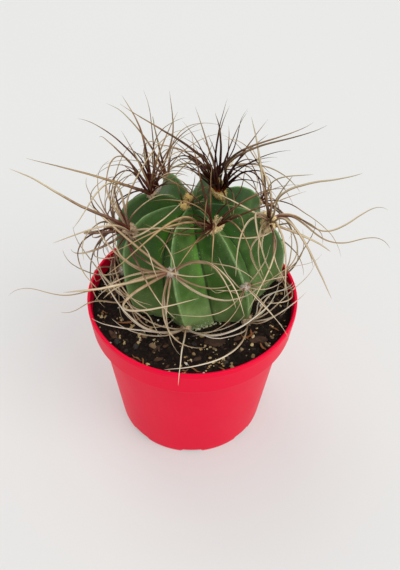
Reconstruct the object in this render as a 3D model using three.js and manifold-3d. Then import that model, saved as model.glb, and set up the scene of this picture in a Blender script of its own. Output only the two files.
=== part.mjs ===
// A potted goats horn cactus: a ribbed green stem with felted areoles and long curling spines,
// rooted in potting mix in a red nursery pot.
// Millimetres, +Z up, +Y away from the viewer. The origin is the middle of the pot's foot.

import * as THREE from "three";
import { mergeVertices } from "three/addons/utils/BufferGeometryUtils.js";
import Module from "manifold-3d";

const wasm = await Module();
wasm.setup();

// The pot: a standard round 10.5 cm nursery pot with a deep collar.
const RIM_RADIUS = 52.5;
const POT_HEIGHT = 84;
const WALL = 1.6;
const COLLAR_HEIGHT = 15.5;
const COLLAR_TAPER = 1.5;
const COLLAR_STEP = 3.7;
const FOOT_RADIUS = 38.7;
const FLOOR = 1.8;
const POT_SIDES = 48;

// Drain slots cut through the corner between the wall and the floor.
const SLOT_COUNT = 8;
const SLOT_WIDTH = 11.5;
const SLOT_HEIGHT = 2.2;
const SLOT_INNER_RADIUS = 33;
const SLOT_TURN = 2;

// Clear space left between pieces that touch on the real thing.
const GAP = 0.3;

// The potting mix.
const SOIL_EDGE = 77;
const SOIL_CROWN = 78.4;
const SOIL_RELIEF = 0.8;
const STONE_COUNT = 22;

// The stem: where its axis meets the soil, how it leans, and how its ribs wind.
const STEM_X = 2.5;
const STEM_Y = 11.8;
const STEM_Z = 78.5;
const LEAN_X = -0.058;
const LEAN_Y = -0.093;
const TWIST = 14.7;
const TWIST_MIDDLE = 0.65;

// Each rib's way round the stem, in degrees from +X, and its girth beside the mean.
const RIBS = [
  { azimuth: -150.8, girth: 1.01 },
  { azimuth: -106.3, girth: 0.93 },
  { azimuth: -55.6, girth: 1.006 },
  { azimuth: -6.7, girth: 1.11 },
  { azimuth: 33.5, girth: 1.05 },
  { azimuth: 78.6, girth: 1.02 },
  { azimuth: 117.7, girth: 0.95 },
  { azimuth: 169.5, girth: 1 },
];

// A rib from the soil (u = 0) to the crown (u = 1): the crest's radius and height, the share of
// the radius that the groove is cut in, and how far the groove lies below the crest.
const PROFILE = [
  { u: 0, radius: 34.7, height: 0, cut: 0.17, drop: 0 },
  { u: 0.16, radius: 38.4, height: 8.6, cut: 0.25, drop: 0 },
  { u: 0.34, radius: 39.7, height: 24.6, cut: 0.32, drop: 0 },
  { u: 0.5, radius: 38.2, height: 36.6, cut: 0.36, drop: 1 },
  { u: 0.68, radius: 34.8, height: 47.6, cut: 0.41, drop: 4 },
  { u: 0.84, radius: 24.2, height: 58.7, cut: 0.43, drop: 7 },
  { u: 0.94, radius: 8.3, height: 59.8, cut: 0.35, drop: 4 },
  { u: 1, radius: 0, height: 54, cut: 0, drop: 0 },
];
const FACE_SWELL = 0.6;

// The neck and tap root under the soil, as radius and height.
const ROOT = [
  [3, -44],
  [7, -34],
  [12, -20],
  [17, -10],
  [25, -3.5],
];

// Spines: the flat width at the root, the thickness beside it, and the room that two spines of
// different areoles leave between their middles.
const SPINE_WIDTH = 1.25;
const SPINE_FLATNESS = 0.7;
const SPINE_ROOM = 1.7;
const SPINE_PARTS = 6;
const PATH_STEPS = 24;
const ROOT_HEIGHT = 1;
const ROOT_SPREAD = 0.3;
const SPINE_FLOOR = 80.3;
const SPINE_SOIL_RADIUS = 50;
const POT_ROOM = 1.3;

// Areoles: the rib (from 0), the place up the rib, the number of spines, and the felt's width.
const AREOLES = [
  { name: "areole_r1_low", rib: 0, u: 0.23, spines: 7, felt: 4.6, age: 2 },
  { name: "areole_r1_top", rib: 0, u: 0.75, spines: 12, felt: 6.2, age: 1 },
  { name: "areole_r2_low", rib: 1, u: 0.09, spines: 8, felt: 4.8, age: 2 },
  { name: "areole_r2_mid", rib: 1, u: 0.62, spines: 11, felt: 5.6, age: 1 },
  { name: "areole_r3_low", rib: 2, u: 0.06, spines: 8, felt: 4.6, age: 2 },
  { name: "areole_r3_mid", rib: 2, u: 0.455, spines: 8, felt: 4.6, age: 2 },
  { name: "areole_r3_top", rib: 2, u: 0.87, spines: 11, felt: 6.6, age: 0 },
  { name: "areole_r4_low", rib: 3, u: 0.13, spines: 8, felt: 4.6, age: 2 },
  { name: "areole_r4_top", rib: 3, u: 0.74, spines: 12, felt: 6.2, age: 1 },
  { name: "areole_r5_low", rib: 4, u: 0.24, spines: 7, felt: 4.6, age: 2 },
  { name: "areole_r5_mid", rib: 4, u: 0.55, spines: 9, felt: 5.2, age: 1 },
  { name: "areole_r5_top", rib: 4, u: 0.91, spines: 13, felt: 7.4, age: 0 },
  { name: "areole_r6_low", rib: 5, u: 0.28, spines: 7, felt: 4.8, age: 2 },
  { name: "areole_r6_top", rib: 5, u: 0.7, spines: 10, felt: 5.8, age: 1 },
  { name: "areole_r7_low", rib: 6, u: 0.17, spines: 7, felt: 4.6, age: 2 },
  { name: "areole_r7_mid", rib: 6, u: 0.52, spines: 8, felt: 5.2, age: 1 },
  { name: "areole_r7_top", rib: 6, u: 0.74, spines: 8, felt: 5.4, age: 0 },
  { name: "areole_r8_low", rib: 7, u: 0.14, spines: 7, felt: 4.6, age: 2 },
  { name: "areole_r8_mid", rib: 7, u: 0.5, spines: 10, felt: 5, age: 1 },
  { name: "areole_r8_top", rib: 7, u: 0.875, spines: 13, felt: 6.8, age: 0 },
];

// The young felts at the crown, which grow into one another.
const CROWN = [
  { rib: 6, u: 0.964, spines: 2 },
  { rib: 7, u: 0.978, spines: 1 },
  { rib: 0, u: 0.968, spines: 2 },
];

// The spines that stand out on the real plant, as fan, tilt, length, bend, roll and sway. The fan
// turns from up the crest, the tilt leans away from straight out, the bend is the whole turn from
// root to tip, the roll is its way (0 is back towards the stem) and the sway adds an S.
const STANDOUT = {
  areole_r1_top: [
    [40, 35, 80, 35, 175, 15],
    [60, 30, 50, 50, -140, -15],
    [10, 40, 65, 75, -135, -30],
  ],
  areole_r8_top: [
    [85, 50, 80, 55, -105, -5],
    [-85, 55, 50, 35, 95, 5],
    [-60, 45, 50, 50, -170, -10],
    [65, 40, 45, 60, -160, -5],
    [60, 30, 50, 55, 130, -5],
    [130, 25, 60, 90, 30, -40],
    [125, 25, 50, 150, 0, -40],
  ],
  areole_r5_top: [
    [-25, 30, 80, 50, -90, -30],
    [-55, 35, 55, 55, -155, -5],
    [125, 45, 45, 50, 15, -15],
    [120, 55, 45, 45, -60, 20],
    [-115, 35, 75, 10, 55, -40],
    [-110, 35, 80, 25, 60, -40],
    [15, 30, 55, 65, 50, -20],
  ],
  areole_r4_top: [
    [-20, 55, 55, 55, -85, 15],
    [-35, 35, 70, 25, 155, -25],
    [125, 55, 90, 55, -55, 40],
    [125, 55, 80, 80, -75, 40],
    [-60, 50, 70, 70, 80, -25],
    [0, 55, 50, 60, 150, -15],
    [-25, 80, 55, 85, 75, -5],
    [-70, 85, 55, 10, 135, -20],
    [-75, 70, 55, 65, 20, -15],
  ],
  areole_r3_top: [
    [30, 70, 45, 65, -60, 35],
    [-125, 35, 45, 60, -170, 5],
    [-90, 50, 35, 55, 25, 0],
    [-110, 60, 90, 10, -5, -30],
  ],
  areole_r2_mid: [
    [45, 75, 70, 80, -145, 0],
    [40, 80, 55, 70, -130, 10],
    [-180, 50, 20, 45, 160, 0],
    [-55, 50, 45, 50, 170, 0],
    [-60, 30, 70, 25, -115, -5],
    [-90, 30, 80, 130, -160, -15],
  ],
  areole_r2_low: [
    [-35, 75, 55, 55, -30, 0],
    [-15, 65, 70, 65, 10, -5],
    [15, 60, 40, 45, -175, -5],
    [70, 65, 40, 70, 25, 10],
    [55, 70, 55, 70, -15, -5],
  ],
  areole_r3_low: [
    [-35, 65, 65, 75, 45, -5],
    [30, 85, 50, 25, 35, 30],
  ],
  areole_r3_mid: [
    [-75, 50, 40, 80, -70, 25],
    [130, 70, 50, 60, 40, 25],
  ],
  areole_r1_low: [
    [55, 40, 45, 45, 100, 25],
    [-70, 80, 70, 80, 145, 30],
  ],
};

const rad = THREE.MathUtils.degToRad;
const V = (x, y, z) => new THREE.Vector3(x, y, z);

// A seeded draw, so that every run grows the same plant.
class Draws {
  constructor(seed) {
    this.state = seed >>> 0;
  }
  next() {
    this.state = (Math.imul(this.state, 1664525) + 1013904223) >>> 0;
    return this.state / 4294967296;
  }
  about(middle, spread) {
    return middle + spread * (2 * this.next() - 1);
  }
}

// Vertices closer than this are one.
const WELD = 1e-3;

function solidOf(geometry) {
  const plain = geometry.clone();
  plain.deleteAttribute("normal");
  plain.deleteAttribute("uv");
  const merged = mergeVertices(plain, WELD);
  return new wasm.Manifold(
    new wasm.Mesh({
      numProp: 3,
      vertProperties: merged.attributes.position.array,
      triVerts: new Uint32Array(merged.index.array),
    }),
  );
}

function geometryOf(solid) {
  const mesh = solid.getMesh();
  const geometry = new THREE.BufferGeometry();
  geometry.setAttribute("position", new THREE.BufferAttribute(mesh.vertProperties, 3));
  geometry.setIndex(new THREE.BufferAttribute(mesh.triVerts, 1));
  geometry.computeVertexNormals();
  return geometry;
}

// A closed skin over rings of points. Each ring runs anticlockwise about the way from the first
// ring to the last, and start and end are the points that close it.
function skin(rings, start, end) {
  const sides = rings[0].length;
  const points = rings.flat().concat([start, end]);
  const index = [];
  for (let k = 0; k < sides; k++) {
    const n = (k + 1) % sides;
    index.push(points.length - 2, n, k);
    for (let j = 0; j + 1 < rings.length; j++) {
      const a = j * sides;
      const b = a + sides;
      index.push(a + k, a + n, b + n);
      index.push(a + k, b + n, b + k);
    }
    const last = (rings.length - 1) * sides;
    index.push(last + k, last + n, points.length - 1);
  }
  const geometry = new THREE.BufferGeometry().setFromPoints(points);
  geometry.setIndex(index);
  return geometry;
}

// The outer body of a joined solid, without any cavity that its members closed off between them.
function outerBody(solid) {
  const bodies = solidOf(geometryOf(solid)).decompose();
  const outer = bodies.reduce((a, b) => (a.volume() > b.volume() ? a : b));
  return bodies.length > 1 ? outerBody(outer) : outer;
}

// The same skin, moved out along its normals.
function grown(geometry, by) {
  const bigger = geometry.clone();
  bigger.computeVertexNormals();
  const position = bigger.attributes.position;
  const normal = bigger.attributes.normal;
  for (let k = 0; k < position.count; k++) {
    position.setXYZ(
      k,
      position.getX(k) + by * normal.getX(k),
      position.getY(k) + by * normal.getY(k),
      position.getZ(k) + by * normal.getZ(k),
    );
  }
  return bigger;
}

const collarBottom = POT_HEIGHT - COLLAR_HEIGHT;
const collarRadius = RIM_RADIUS - COLLAR_TAPER;
const shoulderRadius = collarRadius - COLLAR_STEP;
const innerRim = RIM_RADIUS - WALL;

function wallRadius(z) {
  return FOOT_RADIUS + ((shoulderRadius - FOOT_RADIUS) * z) / collarBottom;
}

const potProfile = [
  [0, 0],
  [FOOT_RADIUS - 1, 0],
  [FOOT_RADIUS, 1],
  [shoulderRadius, collarBottom],
  [collarRadius - 0.5, collarBottom],
  [collarRadius, collarBottom + 0.6],
  [RIM_RADIUS, POT_HEIGHT - 1],
  [RIM_RADIUS - 0.4, POT_HEIGHT],
  [innerRim + 0.4, POT_HEIGHT],
  [innerRim, POT_HEIGHT - 0.6],
  [collarRadius - WALL, collarBottom + 1.8],
  [shoulderRadius - WALL, collarBottom - 0.4],
  [wallRadius(FLOOR) - WALL, FLOOR],
  [0, FLOOR],
].map(([r, z]) => new THREE.Vector2(r, z));

const potShell = new THREE.LatheGeometry(potProfile, POT_SIDES);
potShell.rotateX(Math.PI / 2);

let pot = solidOf(potShell);
for (let k = 0; k < SLOT_COUNT; k++) {
  const reach = FOOT_RADIUS + 4 - SLOT_INNER_RADIUS;
  const slot = new THREE.BoxGeometry(reach, SLOT_WIDTH, 2 * SLOT_HEIGHT);
  slot.translate(SLOT_INNER_RADIUS + reach / 2, 0, 0);
  slot.rotateZ(rad(SLOT_TURN + (360 / SLOT_COUNT) * k));
  pot = pot.subtract(solidOf(slot));
}

const KEYS = ["radius", "height", "cut", "drop"];

// The profile's values at u, on a smooth curve through its rows.
function profileAt(u) {
  let i = 0;
  while (i < PROFILE.length - 2 && u > PROFILE[i + 1].u) i++;
  const from = PROFILE[i];
  const to = PROFILE[i + 1];
  const before = PROFILE[Math.max(i - 1, 0)];
  const after = PROFILE[Math.min(i + 2, PROFILE.length - 1)];
  const span = to.u - from.u;
  const t = (u - from.u) / span;
  const t2 = t * t;
  const t3 = t2 * t;
  const at = {};
  for (const key of KEYS) {
    const slopeFrom = (to[key] - before[key]) / (to.u - before.u);
    const slopeTo = (after[key] - from[key]) / (after.u - from.u);
    at[key] =
      (2 * t3 - 3 * t2 + 1) * from[key] +
      (t3 - 2 * t2 + t) * span * slopeFrom +
      (3 * t2 - 2 * t3) * to[key] +
      (t3 - t2) * span * slopeTo;
  }
  return at;
}

function fromAxis(radius, height, azimuth) {
  return V(
    STEM_X + LEAN_X * height + radius * Math.cos(azimuth),
    STEM_Y + LEAN_Y * height + radius * Math.sin(azimuth),
    STEM_Z + height,
  );
}

// Rib 8 is rib 0 again, a whole turn on.
function ribAzimuth(rib, u) {
  const turns = Math.floor(rib / RIBS.length);
  const own = RIBS[rib - turns * RIBS.length].azimuth;
  return rad(own + 360 * turns + TWIST * (TWIST_MIDDLE - u));
}

function girth(rib) {
  return RIBS[(rib + RIBS.length) % RIBS.length].girth;
}

function crest(rib, u) {
  const at = profileAt(u);
  return fromAxis(at.radius * girth(rib), at.height, ribAzimuth(rib, u));
}

// The groove between a rib and the next.
function groove(rib, u) {
  const at = profileAt(u);
  const radius = ((at.radius * (girth(rib) + girth(rib + 1))) / 2) * (1 - at.cut);
  const azimuth = (ribAzimuth(rib, u) + ribAzimuth(rib + 1, u)) / 2;
  return fromAxis(radius, at.height - at.drop, azimuth);
}

// A point on a rib's face: across is -1 and 1 at its grooves and 0 at its crest.
function face(rib, u, across) {
  const top = crest(rib, u);
  const foot = groove(across > 0 ? rib : rib - 1, u);
  const share = Math.abs(across);
  const swell = FACE_SWELL * Math.sin(Math.PI * share) * Math.min(1, 6 * (1 - u));
  const middle = V(STEM_X, STEM_Y, STEM_Z + 0.4 * profileAt(u).height);
  const out = top.clone().sub(middle).normalize();
  return top.lerp(foot, share).addScaledVector(out, swell);
}

const ACROSS = [-1, -0.62, -0.24, 0, 0.24, 0.62];
const RIB_ROWS = [
  0, 0.05, 0.1, 0.17, 0.25, 0.34, 0.42, 0.5, 0.58, 0.66, 0.73, 0.79, 0.84, 0.88, 0.92, 0.955, 0.985,
];

const stemRings = ROOT.map(([radius, height]) =>
  RIBS.flatMap((_, rib) =>
    ACROSS.map((across) => {
      const foot = face(rib, 0, across);
      const azimuth = Math.atan2(foot.y - STEM_Y, foot.x - STEM_X);
      return fromAxis(radius, height, azimuth);
    }),
  ),
);
for (const u of RIB_ROWS) {
  stemRings.push(RIBS.flatMap((_, rib) => ACROSS.map((across) => face(rib, u, across))));
}
const stemSkin = skin(stemRings, fromAxis(0, ROOT[0][1] - 3, 0), crest(0, 1));
const stem = solidOf(stemSkin);
const stemRoom = solidOf(grown(stemSkin, GAP + 0.05));

// Smooth bumps, about 1 high and as wide apart as the pitch.
function bumps(x, y, pitch) {
  const a = Math.sin((2 * Math.PI * x) / pitch + 1.3 * Math.sin(y / pitch + 0.7));
  const b = Math.sin((2 * Math.PI * y) / pitch + 1.7 * Math.sin(x / pitch + 2.1));
  return a * b;
}

function soilTop(x, y) {
  const away = Math.hypot(x - STEM_X, y - STEM_Y);
  const rise = THREE.MathUtils.smoothstep(52 - away, 0, 16);
  const relief = 0.6 * bumps(x, y, 9) + 0.4 * bumps(y + 3, x, 5.3);
  return SOIL_EDGE + (SOIL_CROWN - SOIL_EDGE) * rise + SOIL_RELIEF * relief;
}

function potInside(z) {
  if (z <= collarBottom - 0.4) return wallRadius(z) - WALL;
  const t = (z - collarBottom - 1.8) / (POT_HEIGHT - 0.6 - collarBottom - 1.8);
  return THREE.MathUtils.lerp(collarRadius - WALL, innerRim, Math.max(t, 0));
}

const SOIL_SIDES = POT_SIDES;
const SOIL_RINGS = [50, 47, 43.5, 40, 36, 32, 27, 20, 11];

function soilRing(radius, height) {
  const ring = [];
  for (let k = 0; k < SOIL_SIDES; k++) {
    const a = (2 * Math.PI * k) / SOIL_SIDES;
    const x = radius * Math.cos(a);
    const y = radius * Math.sin(a);
    ring.push(V(x, y, height ?? soilTop(x, y)));
  }
  return ring;
}

const sideGap = GAP + 0.15;
const soilRings = [
  soilRing(potInside(FLOOR) - sideGap, FLOOR + GAP),
  soilRing(potInside(collarBottom - 0.4) - sideGap, collarBottom + 0.2),
  soilRing(potInside(collarBottom + 1.8) - sideGap, collarBottom + 2.6),
  soilRing(potInside(SOIL_EDGE - 1) - sideGap, SOIL_EDGE - 1.2),
  ...SOIL_RINGS.map((radius) => soilRing(radius)),
];
let soil = solidOf(skin(soilRings, V(0, 0, FLOOR + GAP), V(0, 0, soilTop(0, 0))));

// Grit and bark that stand a little out of the mix, round the stem.
const stoneDraws = new Draws(417);
for (let k = 0; k < STONE_COUNT; k++) {
  const size = stoneDraws.about(2.3, 0.9);
  const stone = new THREE.OctahedronGeometry(1, 0);
  stone.scale(size, size * stoneDraws.about(0.75, 0.2), size * 0.55);
  stone.rotateZ(rad(stoneDraws.about(0, 180)));
  const radius = 47 - 8 * stoneDraws.next();
  const azimuth = rad((360 * (k + 0.7 * stoneDraws.next())) / STONE_COUNT);
  const x = radius * Math.cos(azimuth);
  const y = radius * Math.sin(azimuth);
  stone.translate(x, y, soilTop(x, y) + 0.1);
  soil = soil.add(solidOf(stone));
}
soil = soil.subtract(stemRoom);

// An areole's place on its rib, with the ways out, up the crest and across it, and its felt's size.
function footing(rib, u, width, height) {
  const up = crest(rib, u + 0.01).sub(crest(rib, u - 0.01)).normalize();
  const azimuth = ribAzimuth(rib, u);
  const round = V(-Math.sin(azimuth), Math.cos(azimuth), 0);
  const out = round.clone().cross(up).normalize();
  return { place: crest(rib, u), out, up, across: up.clone().cross(out), width, height };
}

// The middle line of a spine, and the way its flat side faces along it.
function spinePath(foot, [fan, tilt, length, bend, roll, sway]) {
  const side = foot.up.clone().multiplyScalar(Math.cos(rad(fan)));
  side.addScaledVector(foot.across, Math.sin(rad(fan)));
  const start = foot.out.clone().multiplyScalar(Math.cos(rad(tilt)));
  start.addScaledVector(side, Math.sin(rad(tilt)));
  const back = foot.out.clone().addScaledVector(start, -foot.out.dot(start)).normalize().negate();
  const bent = back.clone().multiplyScalar(Math.cos(rad(roll)));
  bent.addScaledVector(start.clone().cross(back), Math.sin(rad(roll)));
  const at = foot.place.clone().addScaledVector(foot.out, ROOT_HEIGHT);
  at.addScaledVector(foot.up, ROOT_SPREAD * foot.height * Math.cos(rad(fan)));
  at.addScaledVector(foot.across, ROOT_SPREAD * foot.width * Math.sin(rad(fan)));
  const points = [at.clone()];
  for (let k = 0; k < PATH_STEPS; k++) {
    const t = (k + 0.5) / PATH_STEPS;
    const angle = rad(bend) * t + rad(sway) * Math.sin(2 * Math.PI * t);
    at.addScaledVector(start, (Math.cos(angle) * length) / PATH_STEPS);
    at.addScaledVector(bent, (Math.sin(angle) * length) / PATH_STEPS);
    points.push(at.clone());
  }
  return { points, flat: start.clone().cross(bent).normalize() };
}

// Places spread over the stem, each with its outward way, to keep spines clear of it.
const TEST_ACROSS = [-1, -2 / 3, -1 / 3, 0, 1 / 3, 2 / 3];
const TEST_ROWS = 22;
const stemTests = [];
RIBS.forEach((_, rib) => {
  for (const across of TEST_ACROSS) {
    for (let j = 0; j < TEST_ROWS; j++) {
      const u = (0.99 * j) / (TEST_ROWS - 1);
      const place = face(rib, u, across);
      const up = face(rib, Math.min(u + 0.01, 1), across);
      up.sub(face(rib, Math.max(u - 0.01, 0), across));
      const round = face(rib, u, across + 0.1);
      round.sub(across > -1 ? face(rib, u, across - 0.1) : face(rib - 1, u, 0.9));
      stemTests.push({ place, out: round.cross(up).normalize() });
    }
  }
});

function clearOfStem(points) {
  return points.every((point, k) => {
    let nearest = stemTests[0];
    let least = Infinity;
    for (const test of stemTests) {
      const d = test.place.distanceToSquared(point);
      if (d < least) {
        least = d;
        nearest = test;
      }
    }
    const height = point.clone().sub(nearest.place).dot(nearest.out);
    const room = k < 1 ? 0 : k < 4 ? 0.9 : 1.3;
    return Math.min(height, Math.sqrt(least)) >= room;
  });
}

function clearOfPot(points) {
  return points.every((point, k) => {
    const r = Math.hypot(point.x, point.y);
    if (k > 2 && r < SPINE_SOIL_RADIUS && point.z < SPINE_FLOOR) return false;
    if (point.z > POT_HEIGHT + POT_ROOM) return true;
    if (r < SPINE_SOIL_RADIUS) return r < innerRim - POT_ROOM;
    return r > RIM_RADIUS + POT_ROOM && point.z > 2;
  });
}

// How close a path comes to the spines of other areoles.
const laid = [];
const line = new THREE.Line3();
const closest = V(0, 0, 0);
function roomBeside(points, owner) {
  const box = new THREE.Box3().setFromPoints(points).expandByScalar(2 * SPINE_ROOM);
  const middles = points.slice(1).map((point, k) => point.clone().lerp(points[k], 0.5));
  const tests = points.slice(2).concat(middles.slice(2));
  let least = Infinity;
  for (const other of laid) {
    if (other.owner === owner || !box.intersectsBox(other.box)) continue;
    for (let k = 0; k + 1 < other.points.length; k++) {
      line.set(other.points[k], other.points[k + 1]);
      for (const test of tests) {
        line.closestPointToPoint(test, true, closest);
        least = Math.min(least, closest.distanceTo(test));
      }
      if (least < SPINE_ROOM) return least;
    }
  }
  return least;
}

// Spines of one areole stand apart once they have left its felt.
const OWN_ROOM = 1.5;
const OWN_START = 6;
const OWN_TESTS = [9, 13, 17, 21];
function apartFromOwn(points, owner) {
  const own = laid.filter((other) => other.owner === owner);
  return own.every((other) =>
    other.points.slice(OWN_START).every((place) =>
      OWN_TESTS.every((k) => place.distanceTo(points[k]) >= OWN_ROOM),
    ),
  );
}

// Lays a spine, and bends it a little further each time it would touch something.
const BEND_TRIES = 60;
function lay(owner, foot, settings, draws) {
  for (let k = 0; k < BEND_TRIES; k++) {
    const [fan, tilt, length, bend, roll, sway] = settings;
    const by = 0.6 * k;
    const turned = [
      draws.about(fan, by),
      Math.min(88, Math.max(8, draws.about(tilt, by))),
      length * (1 - 0.004 * k),
      draws.about(bend, by),
      draws.about(roll, 2 * by),
      sway,
    ];
    const path = spinePath(foot, turned);
    const { points } = path;
    if (!clearOfStem(points) || !clearOfPot(points)) continue;
    if (!apartFromOwn(points, owner)) continue;
    if (roomBeside(points, owner) < SPINE_ROOM) continue;
    laid.push({ owner, points, box: new THREE.Box3().setFromPoints(points) });
    return path;
  }
  return null;
}

// The middle tilt, length and bend of the other spines, by the areole's age: young, grown and old.
const SPREAD = [
  { tilt: 24, length: 42, bend: 92 },
  { tilt: 52, length: 50, bend: 104 },
  { tilt: 64, length: 40, bend: 80 },
];
function drawn(age, share, draws) {
  const spread = SPREAD[age];
  return [
    draws.about(360 * share, 18),
    draws.about(spread.tilt, 14),
    draws.about(spread.length, 12),
    draws.about(spread.bend, 30),
    draws.about(0, 70),
    draws.about(0, 14),
  ];
}

// A spine is a slim three-sided horn, wide across its bend, that narrows to its point.
function spineSolid({ points, flat }, width) {
  const rings = [];
  for (let j = 0; j < SPINE_PARTS; j++) {
    const k = (j * PATH_STEPS) / SPINE_PARTS;
    const along = points[Math.min(k + 2, PATH_STEPS)].clone().sub(points[Math.max(k - 2, 0)]);
    const wide = flat.clone();
    const thick = along.clone().cross(wide).normalize();
    const half = (width / 2) * (1 - 0.62 * (j / SPINE_PARTS));
    const corner = (a, b) =>
      points[k].clone().addScaledVector(wide, a * half).addScaledVector(thick, b * half);
    rings.push([
      corner(-1, -0.55 * SPINE_FLATNESS),
      corner(1, -0.55 * SPINE_FLATNESS),
      corner(0, 1.1 * SPINE_FLATNESS),
    ]);
  }
  const root = points[0].clone().sub(points[1]).multiplyScalar(0.2).add(points[0]);
  return solidOf(skin(rings, root, points[PATH_STEPS]));
}

function feltSolid(foot, depth) {
  const pad = new THREE.SphereGeometry(1, 8, 4);
  pad.rotateX(Math.PI / 2);
  pad.scale(foot.width / 2, foot.height / 2, depth);
  const frame = new THREE.Matrix4().makeBasis(foot.across, foot.up, foot.out);
  frame.setPosition(foot.place.clone().addScaledVector(foot.out, 0.4));
  pad.applyMatrix4(frame);
  return solidOf(pad);
}

const spines = AREOLES.map(() => []);
const FELT_HEIGHT = [0.62, 0.72, 0.62];
const feet = AREOLES.map(({ rib, u, felt, age }) => {
  return footing(rib, u, felt, felt * FELT_HEIGHT[age]);
});
AREOLES.forEach(({ name }, owner) => {
  (STANDOUT[name] ?? []).forEach((settings, k) => {
    const path = lay(owner, feet[owner], settings, new Draws(500 + 20 * owner + k));
    if (path) spines[owner].push(path);
  });
});
AREOLES.forEach(({ spines: count, age }, owner) => {
  const draws = new Draws(1000 + 37 * owner);
  for (let k = spines[owner].length; k < count; k++) {
    const path = lay(owner, feet[owner], drawn(age, k / count, draws), draws);
    if (path) spines[owner].push(path);
  }
});

const areoles = AREOLES.map((_, owner) => {
  let solid = feltSolid(feet[owner], 1.9);
  for (const path of spines[owner]) {
    solid = solid.add(spineSolid(path, SPINE_WIDTH));
  }
  return outerBody(solid.subtract(stemRoom));
});

let crown = null;
CROWN.forEach(({ rib, u, spines: count }, k) => {
  const owner = AREOLES.length;
  const foot = footing(rib, u, 4.2, 3.4);
  const draws = new Draws(3000 + k);
  let solid = feltSolid(foot, 2);
  for (let j = 0; j < count; j++) {
    const settings = [(360 * j) / count + 40, 35, draws.about(12, 3), 30, draws.about(0, 90), 0];
    const path = lay(owner, foot, settings, draws);
    if (path) solid = solid.add(spineSolid(path, 0.9));
  }
  crown = crown ? crown.add(solid) : solid;
});
crown = outerBody(crown.subtract(stemRoom));

const finish = (color, roughness) =>
  new THREE.MeshStandardMaterial({ color, roughness, metalness: 0 });
const potRed = finish(0xe4233f, 0.45);
const soilBrown = finish(0x2e211b, 0.95);
const stemGreen = finish(0x2f6b34, 0.55);
const spineDark = finish(0x3b2226, 0.6);
const spineBrown = finish(0x7d6250, 0.65);
const spineStraw = finish(0xb9a58c, 0.7);
const feltCream = finish(0xcdb673, 0.95);

const plant = new THREE.Group();
function piece(name, solid, material) {
  const mesh = new THREE.Mesh(geometryOf(solid), material);
  mesh.name = name;
  plant.add(mesh);
}

piece("pot", pot, potRed);
piece("soil", soil, soilBrown);
piece("stem", stem, stemGreen);
AREOLES.forEach(({ name, age }, owner) => {
  piece(name, areoles[owner], [spineDark, spineBrown, spineStraw][age]);
});
piece("areole_crown", crown, feltCream);

export default plant;
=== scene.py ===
"""Dresses a potted goats horn cactus: a red nursery pot, its mix, the ribbed stem and its spines.

The plant grows by the same rule as its solids. Lengths in that rule are millimetres, and every
mesh is made in metres, with +Z up and +Y away from the viewer.
"""

import math

import bmesh
import bpy
import numpy as np
from bpy.props import FloatProperty, FloatVectorProperty, IntProperty, PointerProperty
from mathutils import Matrix, Vector, noise


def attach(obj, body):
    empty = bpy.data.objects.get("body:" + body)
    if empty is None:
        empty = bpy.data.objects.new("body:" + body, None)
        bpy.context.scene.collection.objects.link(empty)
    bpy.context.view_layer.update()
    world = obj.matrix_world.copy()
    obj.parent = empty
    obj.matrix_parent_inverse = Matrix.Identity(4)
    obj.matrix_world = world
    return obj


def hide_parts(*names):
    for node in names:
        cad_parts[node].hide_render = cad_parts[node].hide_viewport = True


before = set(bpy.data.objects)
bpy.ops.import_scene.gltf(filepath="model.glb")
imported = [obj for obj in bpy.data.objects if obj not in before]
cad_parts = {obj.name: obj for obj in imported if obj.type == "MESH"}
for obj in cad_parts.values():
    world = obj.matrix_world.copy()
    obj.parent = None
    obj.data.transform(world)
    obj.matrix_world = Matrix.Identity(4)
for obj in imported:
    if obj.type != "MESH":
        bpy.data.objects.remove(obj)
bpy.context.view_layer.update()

bl_info = {
    "name": "Potted goats horn cactus",
    "version": (1, 0, 0),
    "blender": (4, 5, 0),
    "location": "3D View > Sidebar > Cactus",
    "description": "Grows a goats horn cactus with felted areoles and curling spines in a red pot",
    "category": "Object",
}

MM = 0.001

# The pot, in millimetres.
RIM_RADIUS = 52.5
POT_HEIGHT = 84
WALL = 1.6
COLLAR_HEIGHT = 15.5
COLLAR_TAPER = 1.5
COLLAR_STEP = 3.7
FOOT_RADIUS = 38.7
FLOOR = 1.8
COLLAR_BOTTOM = POT_HEIGHT - COLLAR_HEIGHT
COLLAR_RADIUS = RIM_RADIUS - COLLAR_TAPER
SHOULDER_RADIUS = COLLAR_RADIUS - COLLAR_STEP
INNER_RIM = RIM_RADIUS - WALL
FOOT_RECESS = 0.6

# The step inside the wall behind the collar, and how far under the rim the inside's taper ends.
STEP_FOOT = COLLAR_BOTTOM - 0.4
STEP_TOP = COLLAR_BOTTOM + 1.8
LIP_DROP = 0.6

# The ring that the pot stands on, its slope, and the fine step at the foot of the wall.
FOOT_RING = 3.6
FOOT_SLOPE = 0.6
FOOT_STEP = (2.6, 3.1)
FOOT_STEP_DEPTH = 0.05

# The fine steps at the foot of the collar and under the lip.
COLLAR_FOOT = 1.6
COLLAR_FOOT_DEPTH = 0.18
LIP_STEP = (3.2, 2.6)
LIP_STEP_DEPTH = 0.12

SHARP_EDGE = math.radians(38)

SLOT_COUNT = 8
SLOT_WIDTH = 11.5
SLOT_HEIGHT = 2.2
SLOT_INNER_RADIUS = 33
SLOT_TURN = 2
SLOT_PAST_FOOT = 4
SLOT_ROUNDING = 0.8

# The potting mix: its height at the wall and at the stem, its relief, and the rings of its top from
# the wall to the middle.
SOIL_EDGE = 77
SOIL_CROWN = 78.4
SOIL_RELIEF = 0.8
SOIL_SIDES = 300
SOIL_RINGS = 72
SOIL_RADII = (50.2, 0.8)

# The rise of the mix towards the stem: how far out it begins, and how wide it is.
RISE_START = 52
RISE_WIDTH = 16

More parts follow.
